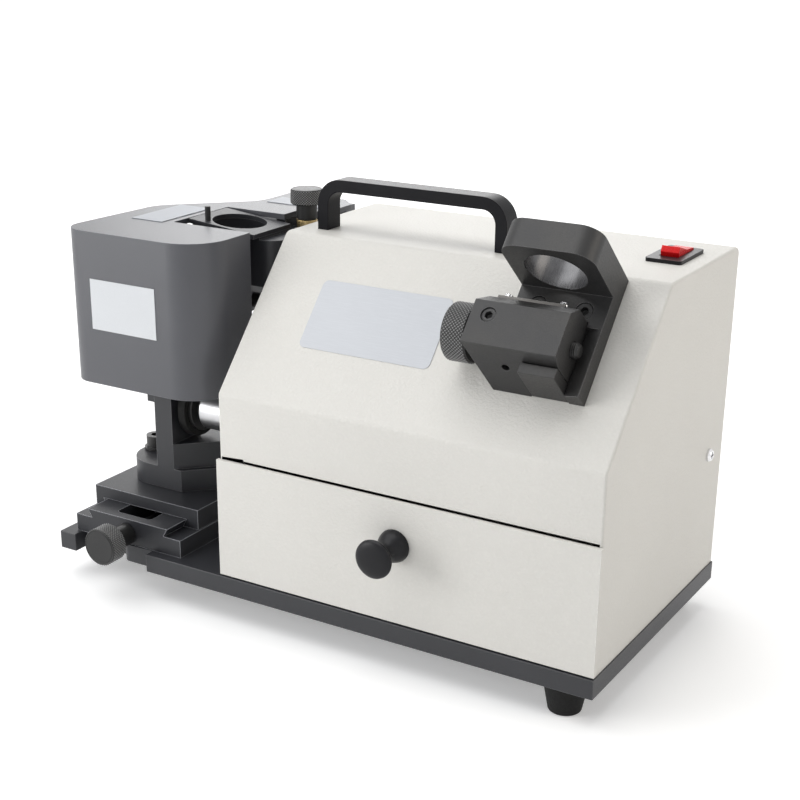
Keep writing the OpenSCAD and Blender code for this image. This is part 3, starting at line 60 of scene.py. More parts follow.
# %% Camera
degrees_down, degrees_left = 21.11, 32.19
camera_data = bpy.data.cameras.new("photo_camera")
camera_data.sensor_width = 36
camera_data.lens = 67.88
camera_data.shift_x = 0.049
camera_data.shift_y = 0.0875
camera = bpy.data.objects.new("photo_camera", camera_data)
bpy.context.scene.collection.objects.link(camera)
camera.location = (0.4669, -0.75535, 0.4286)
camera.rotation_euler = (math.radians(90 - degrees_down), 0, math.radians(degrees_left))
bpy.context.scene.camera = camera
print("camera", camera.location[:])

# %% [markdown]
# ## Floor and light
# The photograph is a studio shot on white: a large soft box stands low at the front left, another behind, and
# soft light falls from above. Their reflections give the dark castings their pale fronts and tops, and leave
# the sides towards the housing dark. A weak, warm lamp far to the right lifts the housing's side wall.
#
# The world is dimmer for diffuse light than for the rays that look at it: the camera, a reflection and a clear
# pane all see plain white. One plain white world would be simpler, but it would wash out every shadow. The
# floor does the same with a little light of its own, so it is white far out and still keeps the machine's
# shadow.

# %% World
bpy.context.scene.view_settings.view_transform = "Standard"
world = bpy.data.worlds.new("studio")
bpy.context.scene.world = world
world.use_nodes = True
sky = world.node_tree
sky.nodes.clear()
white = (1, 1, 1)
cool_white = (0.98, 0.99, 1)
diffuse_strength, seen_strength = 0.31, 1


def sky_shade(colour, strength):
    shade = sky.nodes.new("ShaderNodeBackground")
    shade.inputs["Color"].default_value = (*colour, 1)
    shade.inputs["Strength"].default_value = strength
    return shade.outputs["Background"]


def looking_rays(tree):
    """1 for a ray of the camera, of a reflection or through a clear pane, and 0 for diffuse light."""
    path = tree.nodes.new("ShaderNodeLightPath")
    seen = path.outputs["Is Camera Ray"]
    for ray in ("Is Glossy Ray", "Is Transmission Ray"):
        either = tree.nodes.new("ShaderNodeMath")
        either.operation = "MAXIMUM"
        tree.links.new(seen, either.inputs[0])
        tree.links.new(path.outputs[ray], either.inputs[1])
        seen = either.outputs["Value"]
    return seen


sky_out = sky.nodes.new("ShaderNodeOutputWorld")
sky_mix = sky.nodes.new("ShaderNodeMixShader")
sky.links.new(looking_rays(sky), sky_mix.inputs["Fac"])
sky.links.new(sky_shade(cool_white, diffuse_strength), sky_mix.inputs[1])
sky.links.new(sky_shade(white, seen_strength), sky_mix.inputs[2])
sky.links.new(sky_mix.outputs["Shader"], sky_out.inputs["Surface"])
print("world light", diffuse_strength)


# %% Lamps
def lamp_at(name, kind, place, aim, strength, colour=white):
    data = bpy.data.lights.new(name, kind)
    data.energy = strength
    data.color = colour
    lamp = bpy.data.objects.new(name, data)
    bpy.context.scene.collection.objects.link(lamp)
    lamp.location = place
    lamp.rotation_euler = (Vector(aim) - Vector(place)).to_track_quat("-Z", "Y").to_euler()
    return data


def soft_box(name, place, aim, size, strength, colour=white):
    data = lamp_at(name, "AREA", place, aim, strength, colour)
    data.shape = "DISK"
    data.size = size


top_light = lamp_at("top_light", "SUN", place=(-0.6, -0.15, 2), aim=(0, 0, 0), strength=1.60)
top_light.angle = math.radians(60)
soft_box("front_box", place=(-1.02, -1.08, 0.48), aim=(-0.08, 0, 0.14), size=0.9, strength=8.2)
soft_box("back_box", place=(-0.85, 1.5, 0.85), aim=(-0.1, 0, 0.15), size=1.2, strength=7)
soft_box("warm_fill", place=(1.6, 0.30, 0.75), aim=(0.15, 0, 0.12), size=1.0, strength=4.3,
         colour=(1, 0.91, 0.79))

# %% Floor
floor_width, floor_drop, floor_glow = 12, 0.0002, 0.3
bpy.ops.object.select_all(action="DESELECT")
bpy.ops.mesh.primitive_plane_add(size=floor_width, location=(0, 0, -floor_drop))
floor = bpy.context.active_object
floor.name = "studio_floor"
floor_look = bpy.data.materials.new("pale_floor")
floor_look.use_nodes = True
floor_tree = floor_look.node_tree
floor_shader = floor_tree.nodes["Principled BSDF"]
floor_shader.inputs["Base Color"].default_value = (0.93, 0.93, 0.93, 1)
floor_shader.inputs["Roughness"].default_value = 0.9
floor_shader.inputs["Specular IOR Level"].default_value = 0.1
own_light = floor_tree.nodes.new("ShaderNodeEmission")
share = floor_tree.nodes.new("ShaderNodeMath")
share.operation = "MULTIPLY"
share.inputs[1].default_value = floor_glow
floor_tree.links.new(looking_rays(floor_tree), share.inputs[0])
floor_tree.links.new(share.outputs["Value"], own_light.inputs["Strength"])
both_lights = floor_tree.nodes.new("ShaderNodeAddShader")
floor_tree.links.new(floor_shader.outputs["BSDF"], both_lights.inputs[0])
floor_tree.links.new(own_light.outputs["Emission"], both_lights.inputs[1])
floor_tree.links.new(both_lights.outputs["Shader"], floor_tree.nodes["Material Output"].inputs["Surface"])
floor.data.materials.append(floor_look)
print("floor", floor.name, floor.dimensions[:2])

# %% [markdown]
# ## Finishes
# A finish is a node tree on a principled shader. A photograph of paint could be laid on instead, but nodes
# fit every shape and need no unwrapping. Most finishes share three layers: slow clouds that vary the colour a
# little, a fine grain that breaks up the gloss, and a bump from the same grain. Object coordinates are in
# metres here, so a noise scale of 1000 has grains of about a millimetre.


# %% Helpers for finishes
def noise(tree, coord, scale, detail=2, rough=0.5, stretch=None):
    node = tree.nodes.new("ShaderNodeTexNoise")
    node.inputs["Scale"].default_value = scale
    node.inputs["Detail"].default_value = detail
    node.inputs["Roughness"].default_value = rough
    if stretch:
        mapping = tree.nodes.new("ShaderNodeMapping")
        mapping.inputs["Scale"].default_value = stretch
        tree.links.new(coord, mapping.inputs["Vector"])
        coord = mapping.outputs["Vector"]
    tree.links.new(coord, node.inputs["Vector"])
    return node.outputs["Fac"]


def ramp(tree, fac, low, high, start, end):
    node = tree.nodes.new("ShaderNodeMapRange")
    node.inputs["From Min"].default_value = start
    node.inputs["From Max"].default_value = end
    node.inputs["To Min"].default_value = low
    node.inputs["To Max"].default_value = high
    tree.links.new(fac, node.inputs["Value"])
    return node.outputs["Result"]


def mix_colour(tree, fac, first, second):
    node = tree.nodes.new("ShaderNodeMix")
    node.data_type = "RGBA"
    tree.links.new(fac, node.inputs["Factor"])
    for socket, value in ((node.inputs["A"], first), (node.inputs["B"], second)):
        if hasattr(value, "links"):
            tree.links.new(value, socket)
        else:
            socket.default_value = (*value, 1)
    return node.outputs["Result"]


def wear_and_highlight_edges(tree, reach):
    """Mask high on sharp edges, 0 on flats, from how far a rounded normal leaves the true one; for wear and
    painted highlight.
    """
    rounded = tree.nodes.new("ShaderNodeBevel")
    rounded.samples = 4
    rounded.inputs["Radius"].default_value = reach
    plain = tree.nodes.new("ShaderNodeNewGeometry")
    dot = tree.nodes.new("ShaderNodeVectorMath")
    dot.operation = "DOT_PRODUCT"
    tree.links.new(rounded.outputs["Normal"], dot.inputs[0])
    tree.links.new(plain.outputs["Normal"], dot.inputs[1])
    return ramp(tree, dot.outputs["Value"], low=0.8, high=0, start=0.80, end=0.985)


# %% A finish from its layers
def finish(name, colour, shade, clouds, grain, grain_bump, rough, metal=0.0, stretch=None, edge=None,
           edge_reach=0.0006, specular=0.5, speckle=0.5):
    """A finish with clouds between two colours, a grain in colour and gloss, a bump, and edges lightened as
    wear and as painted highlight.
    """
    look = bpy.data.materials.new(name)
    look.use_nodes = True
    tree = look.node_tree
    shader = tree.nodes["Principled BSDF"]
    shader.inputs["Metallic"].default_value = metal
    shader.inputs["Specular IOR Level"].default_value = specular
    coord = tree.nodes.new("ShaderNodeTexCoord").outputs["Object"]
    cloud = noise(tree, coord, clouds, detail=3)
    fine = noise(tree, coord, grain, rough=0.6, stretch=stretch)
    speck = tuple(min(1, c * 1.12) for c in colour)
    both = mix_colour(tree, ramp(tree, cloud, low=0, high=1, start=0.35, end=0.65), colour, shade)
    both = mix_colour(tree, ramp(tree, fine, low=0, high=speckle, start=0.45, end=0.8), both, speck)
    # Edge colour: partly wear, partly a painted highlight of the light caught on rounded edges.
    if edge:
        both = mix_colour(tree, wear_and_highlight_edges(tree, edge_reach), both, edge)
    gloss = ramp(tree, fine, low=rough[0], high=rough[1], start=0.3, end=0.7)
    bump = tree.nodes.new("ShaderNodeBump")
    bump.inputs["Strength"].default_value = 0.5
    bump.inputs["Distance"].default_value = grain_bump
    tree.links.new(fine, bump.inputs["Height"])
    tree.links.new(both, shader.inputs["Base Color"])
    tree.links.new(gloss, shader.inputs["Roughness"])
    tree.links.new(bump.outputs["Normal"], shader.inputs["Normal"])
    return look


# %% [markdown]
# ### Finishes of the material slots
# The sheet is powder coated in a warm white with a fine orange peel. The castings and the plate are sprayed
# dark grey, the setter is blackened steel, and the wheel is grit on steel. One function makes them all, so the
# finishes differ only in the numbers that the eye picks up: colour, gloss, grain and lightened edges, which
# stand partly for wear and partly for a painted highlight.

# %% Finishes of the material slots
finishes = {
    # The pale edge colour of the white paint is a painted highlight along the sheet's edges.
    "white_paint": finish("cream_powder_coat", (0.80, 0.785, 0.745), (0.775, 0.76, 0.72), clouds=9, grain=620,
                          grain_bump=0.0008, rough=(0.45, 0.6), specular=0.3, speckle=0.25,
                          edge=(0.86, 0.85, 0.82), edge_reach=0.0012),
    "dark_paint": finish("dark_grey_spray", (0.026, 0.027, 0.032), (0.021, 0.022, 0.026), clouds=25,
                         grain=1700, grain_bump=0.00015, rough=(0.36, 0.48), edge=(0.24, 0.24, 0.25),
                         edge_reach=0.0008),
    "black_oxide": finish("blackened_steel", (0.026, 0.026, 0.027), (0.034, 0.033, 0.032), clouds=40,
                          grain=900, grain_bump=0.0001, rough=(0.34, 0.46), metal=0.2,
                          edge=(0.20, 0.20, 0.20)),
    "black_plastic": finish("black_moulding", (0.010, 0.010, 0.012), (0.013, 0.013, 0.015), clouds=60,
                            grain=2600, grain_bump=0.00008, rough=(0.28, 0.38), specular=0.22),
    "red_plastic": finish("red_rocker", (0.86, 0.013, 0.015), (0.76, 0.009, 0.011), clouds=90, grain=3000,
                          grain_bump=0.00005, rough=(0.22, 0.32), specular=0.3),
    "bright_steel": finish("ground_steel", (0.78, 0.78, 0.79), (0.70, 0.70, 0.72), clouds=60, grain=1200,
                           grain_bump=0.00003, rough=(0.16, 0.26), metal=1.0),
    "silver_film": finish("satin_silver", (0.635, 0.655, 0.69), (0.605, 0.625, 0.66), clouds=14, grain=2400,
                          grain_bump=0.00003, rough=(0.45, 0.55), metal=0.05, specular=0.35,
                          stretch=(0.04, 1, 1)),
    "rubber": finish("black_rubber", (0.008, 0.008, 0.008), (0.013, 0.013, 0.013), clouds=50, grain=1200,
                     grain_bump=0.0003, rough=(0.6, 0.75), specular=0.2),
    "brass": finish("turned_brass", (0.66, 0.50, 0.26), (0.55, 0.41, 0.19), clouds=80, grain=1400,
                    grain_bump=0.00008, rough=(0.22, 0.36), metal=1.0, stretch=(1, 1, 8)),
    "cast_aluminium": finish("cast_aluminium", (0.34, 0.35, 0.36), (0.28, 0.29, 0.30), clouds=30, grain=1000,
                             grain_bump=0.0004, rough=(0.42, 0.6), metal=0.9),
    # The grit's near-black colour is partly its own and partly painted shade for the gap under the hood.
    "abrasive": finish("grit_on_steel", (0.012, 0.012, 0.012), (0.018, 0.018, 0.017), clouds=200, grain=2200,
                       grain_bump=0.0005, rough=(0.6, 0.8), specular=0.2, edge=(0.05, 0.05, 0.05)),
}
print("finishes of slots", len(finishes))

# %% [markdown]
# ### Finishes of single pieces
# A few pieces look unlike the rest of their slot. The hood has a paler, glossier enamel than the castings, the
# slide's edges are lightened strongly, mostly as a painted highlight and partly as wear, the handle is a
# deeper black, and the plates on the hood are films of two shades. Each gets a finish of its own, three small
# pieces borrow another slot's, and every other node takes the one of its slot.

# %% Finishes of single pieces
finishes.update({
    "plate_white": finish("white_film", (0.74, 0.76, 0.785), (0.72, 0.74, 0.765), clouds=20, grain=2400,
                          grain_bump=0.00002, rough=(0.4, 0.5), specular=0.35),
    "hood_grey": finish("grey_enamel", (0.060, 0.062, 0.074), (0.053, 0.055, 0.066), clouds=25, grain=1700,
                        grain_bump=0.00015, rough=(0.32, 0.42), specular=0.8, edge=(0.26, 0.27, 0.30)),
    "satin_steel": finish("satin_steel", (0.64, 0.64, 0.65), (0.56, 0.56, 0.57), clouds=40, grain=900,
                          grain_bump=0.00004, rough=(0.30, 0.40), metal=1.0, stretch=(12, 1, 1)),
    "dull_steel": finish("dull_steel", (0.12, 0.115, 0.11), (0.09, 0.085, 0.08), clouds=60, grain=1200,
                         grain_bump=0.00004, rough=(0.34, 0.46), metal=0.8, stretch=(0.1, 1, 1),
                         edge=(0.5, 0.49, 0.47), edge_reach=0.0004),
    "plate_grey": finish("grey_film", (0.36, 0.38, 0.42), (0.33, 0.35, 0.39), clouds=20, grain=2400,
                         grain_bump=0.00002, rough=(0.35, 0.45), specular=0.35),
    # The slide's pale edge colour is mostly a painted highlight on its edges, with some wear.
    "slide_paint": finish("dark_grey_slide", (0.030, 0.031, 0.036), (0.025, 0.026, 0.030), clouds=25,
                          grain=1700, grain_bump=0.00015, rough=(0.36, 0.48), specular=0.4,
                          edge=(0.55, 0.56, 0.60), edge_reach=0.0009),
    "handle_black": finish("satin_black", (0.007, 0.007, 0.009), (0.009, 0.009, 0.011), clouds=60, grain=2600,
                           grain_bump=0.00008, rough=(0.28, 0.38), specular=0.12),
})
# The wheel's flange takes the blackened finish, partly as painted shade under the hood.
own_finish = {
    "handle": "handle_black", "cross_slide": "slide_paint", "rail_base": "slide_paint", "hood": "hood_grey",
    "hood_plates": "plate_white", "spindle_sleeve": "satin_steel", "stop_strip": "dull_steel",
    "index_pins": "black_oxide", "slide_gib": "dark_paint", "wheel_flange": "black_oxide",
}
slot_of = {part["node"]: part["material_slot"] for part in frame["record"]["subparts"]}


def dress(piece, look):
    piece.data.materials.clear()
    piece.data.materials.append(look)
    return piece


for node, solid in frame["nodes"].items():
    dress(solid, finishes[own_finish.get(node, slot_of[node])])
print("dressed", len(frame["nodes"]), "nodes in", len(finishes), "finishes")

# %% [markdown]
# ## Softened edges
# A real edge is never a perfect line: paint rounds it, a file breaks it, and it catches a thin light. A shader
# can fake that, but its outline stays sharp, so here the edges are really cut. A solid is copied, its loose
# triangles are merged and its flat faces joined, and a bevel of the real size runs along every sharp edge. The
# copy then stands for the solid.

# %% Helpers for softened copies
body_of = {node: body for body, nodes in frame["record"]["behaviour"]["bodies"].items() for node in nodes}
flat_angle, sharp_angle, smooth_angle = math.radians(0.4), math.radians(32), math.radians(34)
merge_gap = 0.000002


def deselect():
    if bpy.context.object and bpy.context.object.mode != "OBJECT":
        bpy.ops.object.mode_set(mode="OBJECT")
    bpy.ops.object.select_all(action="DESELECT")


def pick(piece):
    deselect()
    piece.select_set(True)
    bpy.context.view_layer.objects.active = piece


def copy_of(node):
    """A copy of a solid with its loose triangles merged and its flat faces joined."""
    pick(frame["nodes"][node])
    bpy.ops.object.duplicate()
    piece = bpy.context.active_object
    piece.name = node + "_soft"
    for key in list(piece.keys()):
        if key.startswith("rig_"):
            del piece[key]
    piece.parent = None
    bpy.ops.object.mode_set(mode="EDIT")
    bpy.ops.mesh.select_all(action="SELECT")
    bpy.ops.mesh.remove_doubles(threshold=merge_gap)
    bpy.ops.mesh.dissolve_limited(angle_limit=flat_angle)
    bpy.ops.object.mode_set(mode="OBJECT")
    return piece


def bevel_edges(piece, width, steps=2):
    bevel = piece.modifiers.new("softened", "BEVEL")
    bevel.width = width
    bevel.segments = steps
    bevel.limit_method = "ANGLE"
    bevel.angle_limit = sharp_angle
    bevel.miter_outer = "MITER_ARC"
    pick(piece)
    bpy.ops.object.modifier_apply(modifier=bevel.name)


def stand_in(piece, node):
    """Shades the flats flat and the bevels smooth, then lets the piece stand for its solid."""
    pick(piece)
    bpy.ops.object.shade_smooth_by_angle(angle=smooth_angle)
    evened = piece.modifiers.new("flat_faces", "WEIGHTED_NORMAL")
    evened.keep_sharp = True
    bpy.ops.object.modifier_apply(modifier=evened.name)
    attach(piece, body_of[node])
    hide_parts(node)
    print(piece.name, "faces", len(piece.data.polygons))


def soften(node, width, steps=2):
    piece = copy_of(node)
    bevel_edges(piece, width, steps)
    stand_in(piece, node)


# %% Soften the plain machined pieces
edge_width = {
    "base_plate": 0.0009, "rail_base": 0.0006, "cross_slide": 0.0006, "upright": 0.0012, "head_block": 0.001,
    "socket_plate": 0.0005, "stop_jaw": 0.0005, "handle": 0.0018, "drawer_front": 0.0009,
    "drawer_tray": 0.0003, "switch_body": 0.0005, "rocker": 0.0007, "swivel_bolts": 0.0005,
    "setter_screws": 0.0005, "nameplate": 0.00012, "power_inlet": 0.0006, "thumb_ring": 0.0003,
    "grinding_wheel": 0.0005, "wheel_flange": 0.0004, "spindle_sleeve": 0.0004, "rubber_feet": 0.001,
    "index_pins": 0.0004,
}
for node, width in edge_width.items():
    soften(node, width)

# %% [markdown]
# ## The hood
# The hood is bent and welded from sheet and enamelled, so its edges are rounder than a machined piece's: a
# wider bevel in three steps.

# %% Soften the hood
hood_edge, hood_steps = 0.002, 3
soften("hood", hood_edge, hood_steps)

# %% [markdown]
# ### Plates of the hood
# Three thin plates are stuck to the hood, a white one on its front and two grey ones on its top. They are
# one piece, so the top ones are told apart by their height, and their faces get a second finish. Cutting the
# piece in two would also do, but one piece with two finishes stays simpler.


# %% White plate on the front, grey plates on the top
def second_finish(piece, look, wanted):
    """Gives the faces that pass a test a second finish."""
    piece.data.materials.append(look)
    for face in piece.data.polygons:
        if wanted(face):
            face.material_index = 1


hood_top, plate_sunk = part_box("hood")[1].z, 0.001
plates = copy_of("hood_plates")
second_finish(plates, finishes["plate_grey"], lambda face: face.center.z > hood_top - plate_sunk)
stand_in(plates, "hood_plates")

# %% [markdown]
# ## The housing
# The sheet is folded on a brake along the slope and screwed to flat sides. Its outer edges along the sides are
# rounded by the paint, while the thin rims stay crisp, so only the outer edges are picked and bevelled. A face
# can't have a hole in it, and the spare edges that run from a hole to a corner would spoil the bevel, so the
# walls are first cut through the middle of each hole.


# %% Cut the walls through their holes
def cut_through(piece, cuts):
    """Cuts the faces along planes through a piece's holes, and keeps the cuts when flat faces are joined."""
    pick(piece)
    bpy.ops.object.mode_set(mode="EDIT")
    bpy.ops.mesh.select_mode(type="EDGE")
    for spot, facing in cuts:
        bpy.ops.mesh.select_all(action="SELECT")
        bpy.ops.mesh.bisect(plane_co=spot, plane_no=facing)
        bpy.ops.mesh.mark_seam(clear=False)
    bpy.ops.mesh.select_all(action="SELECT")
    bpy.ops.mesh.dissolve_limited(angle_limit=flat_angle, delimit={"SEAM"})
    bpy.ops.object.mode_set(mode="OBJECT")


def middle_of(node):
    low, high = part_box(node)
    return (low + high) / 2


level, across = Vector((0, 0, 1)), Vector((1, 0, 0))
side_screw, sleeve = middle_of("housing_screws"), middle_of("spindle_sleeve")
first_leg, last_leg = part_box("handle_screws")
leg_inset = 0.0042 * across
housing = copy_of("housing")
cut_through(housing, [
    (side_screw, level), (sleeve, level), (middle_of("switch_body"), across),
    (middle_of("power_inlet"), across), (first_leg + leg_inset, across), (last_leg - leg_inset, across),
])
print("housing faces after the cuts", len(housing.data.polygons))


# %% Round the housing's side edges
def near(point, centre, reach):
    return math.hypot(point.y - centre.y, point.z - centre.z) < reach


low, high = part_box("housing")
hair, rim_height = 1e-5, 1e-4
screw_reach, sleeve_reach = 0.006, 0.02
side_round, round_steps, fold_angle = 0.0016, 3, math.radians(60)
bpy.ops.object.mode_set(mode="EDIT")
bpy.ops.mesh.select_all(action="DESELECT")
bpy.ops.mesh.edges_select_sharp(sharpness=fold_angle)
bpy.ops.object.mode_set(mode="OBJECT")
for edge in housing.data.edges:
    ends = [housing.data.vertices[i].co for i in edge.vertices]
    middle = (ends[0] + ends[1]) / 2
    on_left = all(abs(p.x - low.x) < hair for p in ends)
    on_right = all(abs(p.x - high.x) < hair for p in ends)
    on_rim = all(p.z < low.z + rim_height for p in ends)
    at_hole = near(middle, side_screw, screw_reach) or near(middle, sleeve, sleeve_reach)
    if on_rim or at_hole or not (on_left or on_right):
        edge.select = False
bpy.ops.object.mode_set(mode="EDIT")
bpy.ops.mesh.bevel(offset=side_round, segments=round_steps, affect="EDGES")
bpy.ops.object.mode_set(mode="OBJECT")
stand_in(housing, "housing")

# %% [markdown]
# ## Knurled knobs
# A knurl is rolled into the rim as crossing grooves, which leave rows of small pyramids. A bump could show it,
# but the rim's outline would stay smooth. So a ring of points is pulled up row by row, and every second point
# is drawn in, the other ones on the next row. Each four-sided face is then split along its shorter diagonal.
# That one joins the two low points, so the splits become the grooves and the high points the tips of the
# pyramids.


# %% Knurled rim
def pull_up(height):
    bpy.ops.mesh.extrude_region_move(TRANSFORM_OT_translate={"value": (0, 0, height)})


def widen(factor):
    bpy.ops.transform.resize(value=(factor, factor, 1), center_override=(0, 0, 0))


def knurled_rim(name, radius, length, count, depth, flat):
    """An open rim along Z from 0 to length: plain chamfers at both ends and a knurl between."""
    pitch = 2 * math.pi * radius / count
    rows = max(3, 2 * round((length - 2 * flat) / pitch / 2) + 1)
    step = (length - 2 * flat) / (rows - 1)
    grow = radius / (radius - flat)
    deselect()
    bpy.ops.mesh.primitive_circle_add(vertices=count, radius=radius - flat, fill_type="NOTHING",
                                      location=(0, 0, 0))
    rim = bpy.context.active_object
    rim.name = name
    bpy.ops.object.mode_set(mode="EDIT")
    bpy.ops.mesh.select_mode(type="VERT")
    bpy.ops.mesh.select_all(action="SELECT")
    pull_up(flat)
    widen(grow)
    for _ in range(rows - 1):
        pull_up(step)
    pull_up(flat)
    widen(1 / grow)
    bpy.ops.mesh.select_all(action="DESELECT")
    bpy.ops.object.mode_set(mode="OBJECT")
    for vertex in rim.data.vertices:
        x, y, z = vertex.co
        row = round((z - flat) / step)
        spoke = round(math.atan2(y, x) / (2 * math.pi) * count)
        vertex.select = flat / 2 <= z <= length - flat / 2 and (row + spoke) % 2 == 1
    bpy.ops.object.mode_set(mode="EDIT")
    widen(1 - depth / radius)
    bpy.ops.mesh.select_all(action="SELECT")
    bpy.ops.mesh.quads_convert_to_tris(quad_method="SHORTEST_DIAGONAL")
    bpy.ops.object.mode_set(mode="OBJECT")
    return rim


# %% [markdown]
# ### Finish of a knurl
# The tips of a knurl are lightened, partly as the polish of hands and partly as a painted highlight of their
# glints, and the knob's black is darker than the other blackened steel, as painted shade for the grooves. Tips
# and grooves lie at different distances from the knob's axis, so that distance, worked out by three vector
# nodes, mixes a pale steel into the black.


# %% Finish of a knurl
def vector_step(tree, operation, first, second=None):
    node = tree.nodes.new("ShaderNodeVectorMath")
    node.operation = operation
    tree.links.new(first, node.inputs[0])
    if second is not None:
        node.inputs[1].default_value = second
    return node.outputs


def knurl_finish(name, centre, across_axis, radius, depth):
    """Blackened steel, darker as painted shade of the grooves, whose tips are lightened by distance from the
    knob's axis, as polish and as painted highlight.
    """
    # This black is darker than blackened steel's, as painted shade for the grooves.
    look = finish(name, (0.016, 0.016, 0.016), (0.022, 0.022, 0.022), clouds=40, grain=900, grain_bump=0.0001,
                  rough=(0.34, 0.46), metal=0.2)
    # The pale tip colour is partly polish and partly a painted highlight of the glints on the tips.
    tip_polish_and_glint, groove_share = (0.36, 0.36, 0.36), 0.9
    tree = look.node_tree
    base = tree.nodes["Principled BSDF"].inputs["Base Color"]
    plain = base.links[0].from_socket
    coord = tree.nodes.new("ShaderNodeTexCoord").outputs["Object"]
    away = vector_step(tree, "SUBTRACT", coord, centre)["Vector"]
    spread = vector_step(tree, "MULTIPLY", away, across_axis)["Vector"]
    reach = vector_step(tree, "LENGTH", spread)["Value"]
    tips = ramp(tree, reach, low=0, high=1, start=radius - groove_share * depth, end=radius)
    tree.links.new(mix_colour(tree, tips, plain, tip_polish_and_glint), base)
    return look


# %% [markdown]
# ### Turned pieces
# What a lathe makes is drawn as half an outline and spun about its axis. A cylinder with many insets would
# give the same, but the outline can be read like a drawing. A knob is a knurled rim between two turned ends,
# whose rings meet the rim's and are merged with it into one closed shell.


# %% Helpers for turned pieces
def close_up(gap):
    """In edit mode, merges the points that meet and turns all faces outwards."""
    bpy.ops.mesh.select_all(action="SELECT")
    bpy.ops.mesh.remove_doubles(threshold=gap)
    bpy.ops.mesh.normals_make_consistent(inside=False)
    bpy.ops.object.mode_set(mode="OBJECT")


def turned(name, outline, count):
    """A turned piece about Z from an outline of (radius, height), made by spinning a line of points."""
    deselect()
    mesh = bpy.data.meshes.new(name)
    lines = [(i, i + 1) for i in range(len(outline) - 1)]
    mesh.from_pydata([(radius, 0, height) for radius, height in outline], lines, [])
    piece = bpy.data.objects.new(name, mesh)
    bpy.context.scene.collection.objects.link(piece)
    pick(piece)
    bpy.ops.object.mode_set(mode="EDIT")
    bpy.ops.mesh.select_all(action="SELECT")
    bpy.ops.mesh.spin(steps=count, angle=2 * math.pi, center=(0, 0, 0), axis=(0, 0, 1))
    close_up(gap=0.000005)
    return piece


def join(first, *others):
    """Joins open pieces whose end rings meet into one closed shell."""
    pick(first)
    for other in others:
        other.select_set(True)
    bpy.ops.object.join()
    bpy.ops.object.mode_set(mode="EDIT")
    close_up(gap=0.00001)
    return first


def place(piece, matrix):
    """Puts a piece made along Z at the origin into its place, with the place in its mesh."""
    piece.matrix_world = matrix
    pick(piece)
    bpy.ops.object.transform_apply(location=True, rotation=True, scale=True)
    return piece


def knurled_knob(node, knurl, ends, matrix, across_axis):
    """A knurled rim closed by two turned ends, put in its place to stand for a knob's solid."""
    rim = knurled_rim(node + "_turned", **knurl)
    knob = join(rim, *[turned(node + "_end", outline, knurl["count"]) for outline in ends])
    place(knob, matrix)
    look_name = node.split("_")[0] + "_knurl"
    dress(knob, knurl_finish(look_name, matrix.translation, across_axis, knurl["radius"], knurl["depth"]))
    stand_in(knob, node)


# %% [markdown]
# ### Feed knob
# The knob that feeds the cross slide is turned from one bar: a knurled head with a shallow ring in its face,
# and a plain neck that runs back to the rail. Its axis runs along Y, so it is made along Z and laid down.

# %% Feed knob
low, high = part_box("feed_knob")
knurl = {"radius": 0.0125, "length": 0.012, "count": 84, "depth": 0.0004, "flat": 0.0007}
rim, head, end = knurl["radius"] - knurl["flat"], knurl["length"], high.y - low.y
neck, broken, ring_deep = 0.0072, 0.0004, 0.0003
face = [(0.0, 0.0), (0.0104, 0.0), (0.0107, ring_deep), (0.0112, ring_deep), (rim, 0.0)]
back = [(rim, head), (neck + broken, head), (neck, head + 0.0005), (neck, end - broken), (neck - broken, end),
        (0.0, end)]
front = Vector(((low.x + high.x) / 2, low.y, (low.z + high.z) / 2))
lying = Matrix.Translation(front) @ Matrix.Rotation(math.radians(-90), 4, "X")
knurled_knob("feed_knob", knurl, (face, back), lying, across_axis=(1, 0, 1))

# %% [markdown]
# ### Thumb screw
# The thumb screw stands on the head block: a knurled head with a ring in its top, a plain neck above a brass
# ring, and a thin shank below. It is made like the feed knob, but it stands upright, so it is only moved to
# its place.

# %% Thumb screw
low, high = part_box("thumb_screw")
knurl = {"radius": 0.0105, "length": 0.0095, "count": 76, "depth": 0.00037, "flat": 0.0008}
rim, top = knurl["radius"] - knurl["flat"], knurl["length"]
head_z, ring_gap = high.z - top, 0.0003
neck_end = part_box("thumb_ring")[1].z + ring_gap - head_z
shank_end = low.z - head_z
neck, broken, shank, ring_deep = 0.00675, 0.0004, 0.003, 0.0002
cap = [(rim, top), (0.0092, top), (0.0089, top - ring_deep), (0.0085, top - ring_deep), (0.0082, top),
       (0.0, top)]
foot = [(rim, 0.0), (0.0071, 0.0), (neck, -broken), (neck, neck_end + broken), (0.0063, neck_end),
        (shank, neck_end), (shank, shank_end), (0.0, shank_end)]
upright_place = Matrix.Translation(((low.x + high.x) / 2, (low.y + high.y) / 2, head_z))
knurled_knob("thumb_screw", knurl, (cap, foot), upright_place, across_axis=(1, 1, 0))

# %% [markdown]
# ### Setter knob
# The setter's knob has a slightly coarser knurl. It sits beside the stop block with its axis along X, and its
# screw runs through the block and shows at the far side. The thread there is a row of rings and not a helix:
# only its tip shows, and rings close neatly with the rest of the outline.

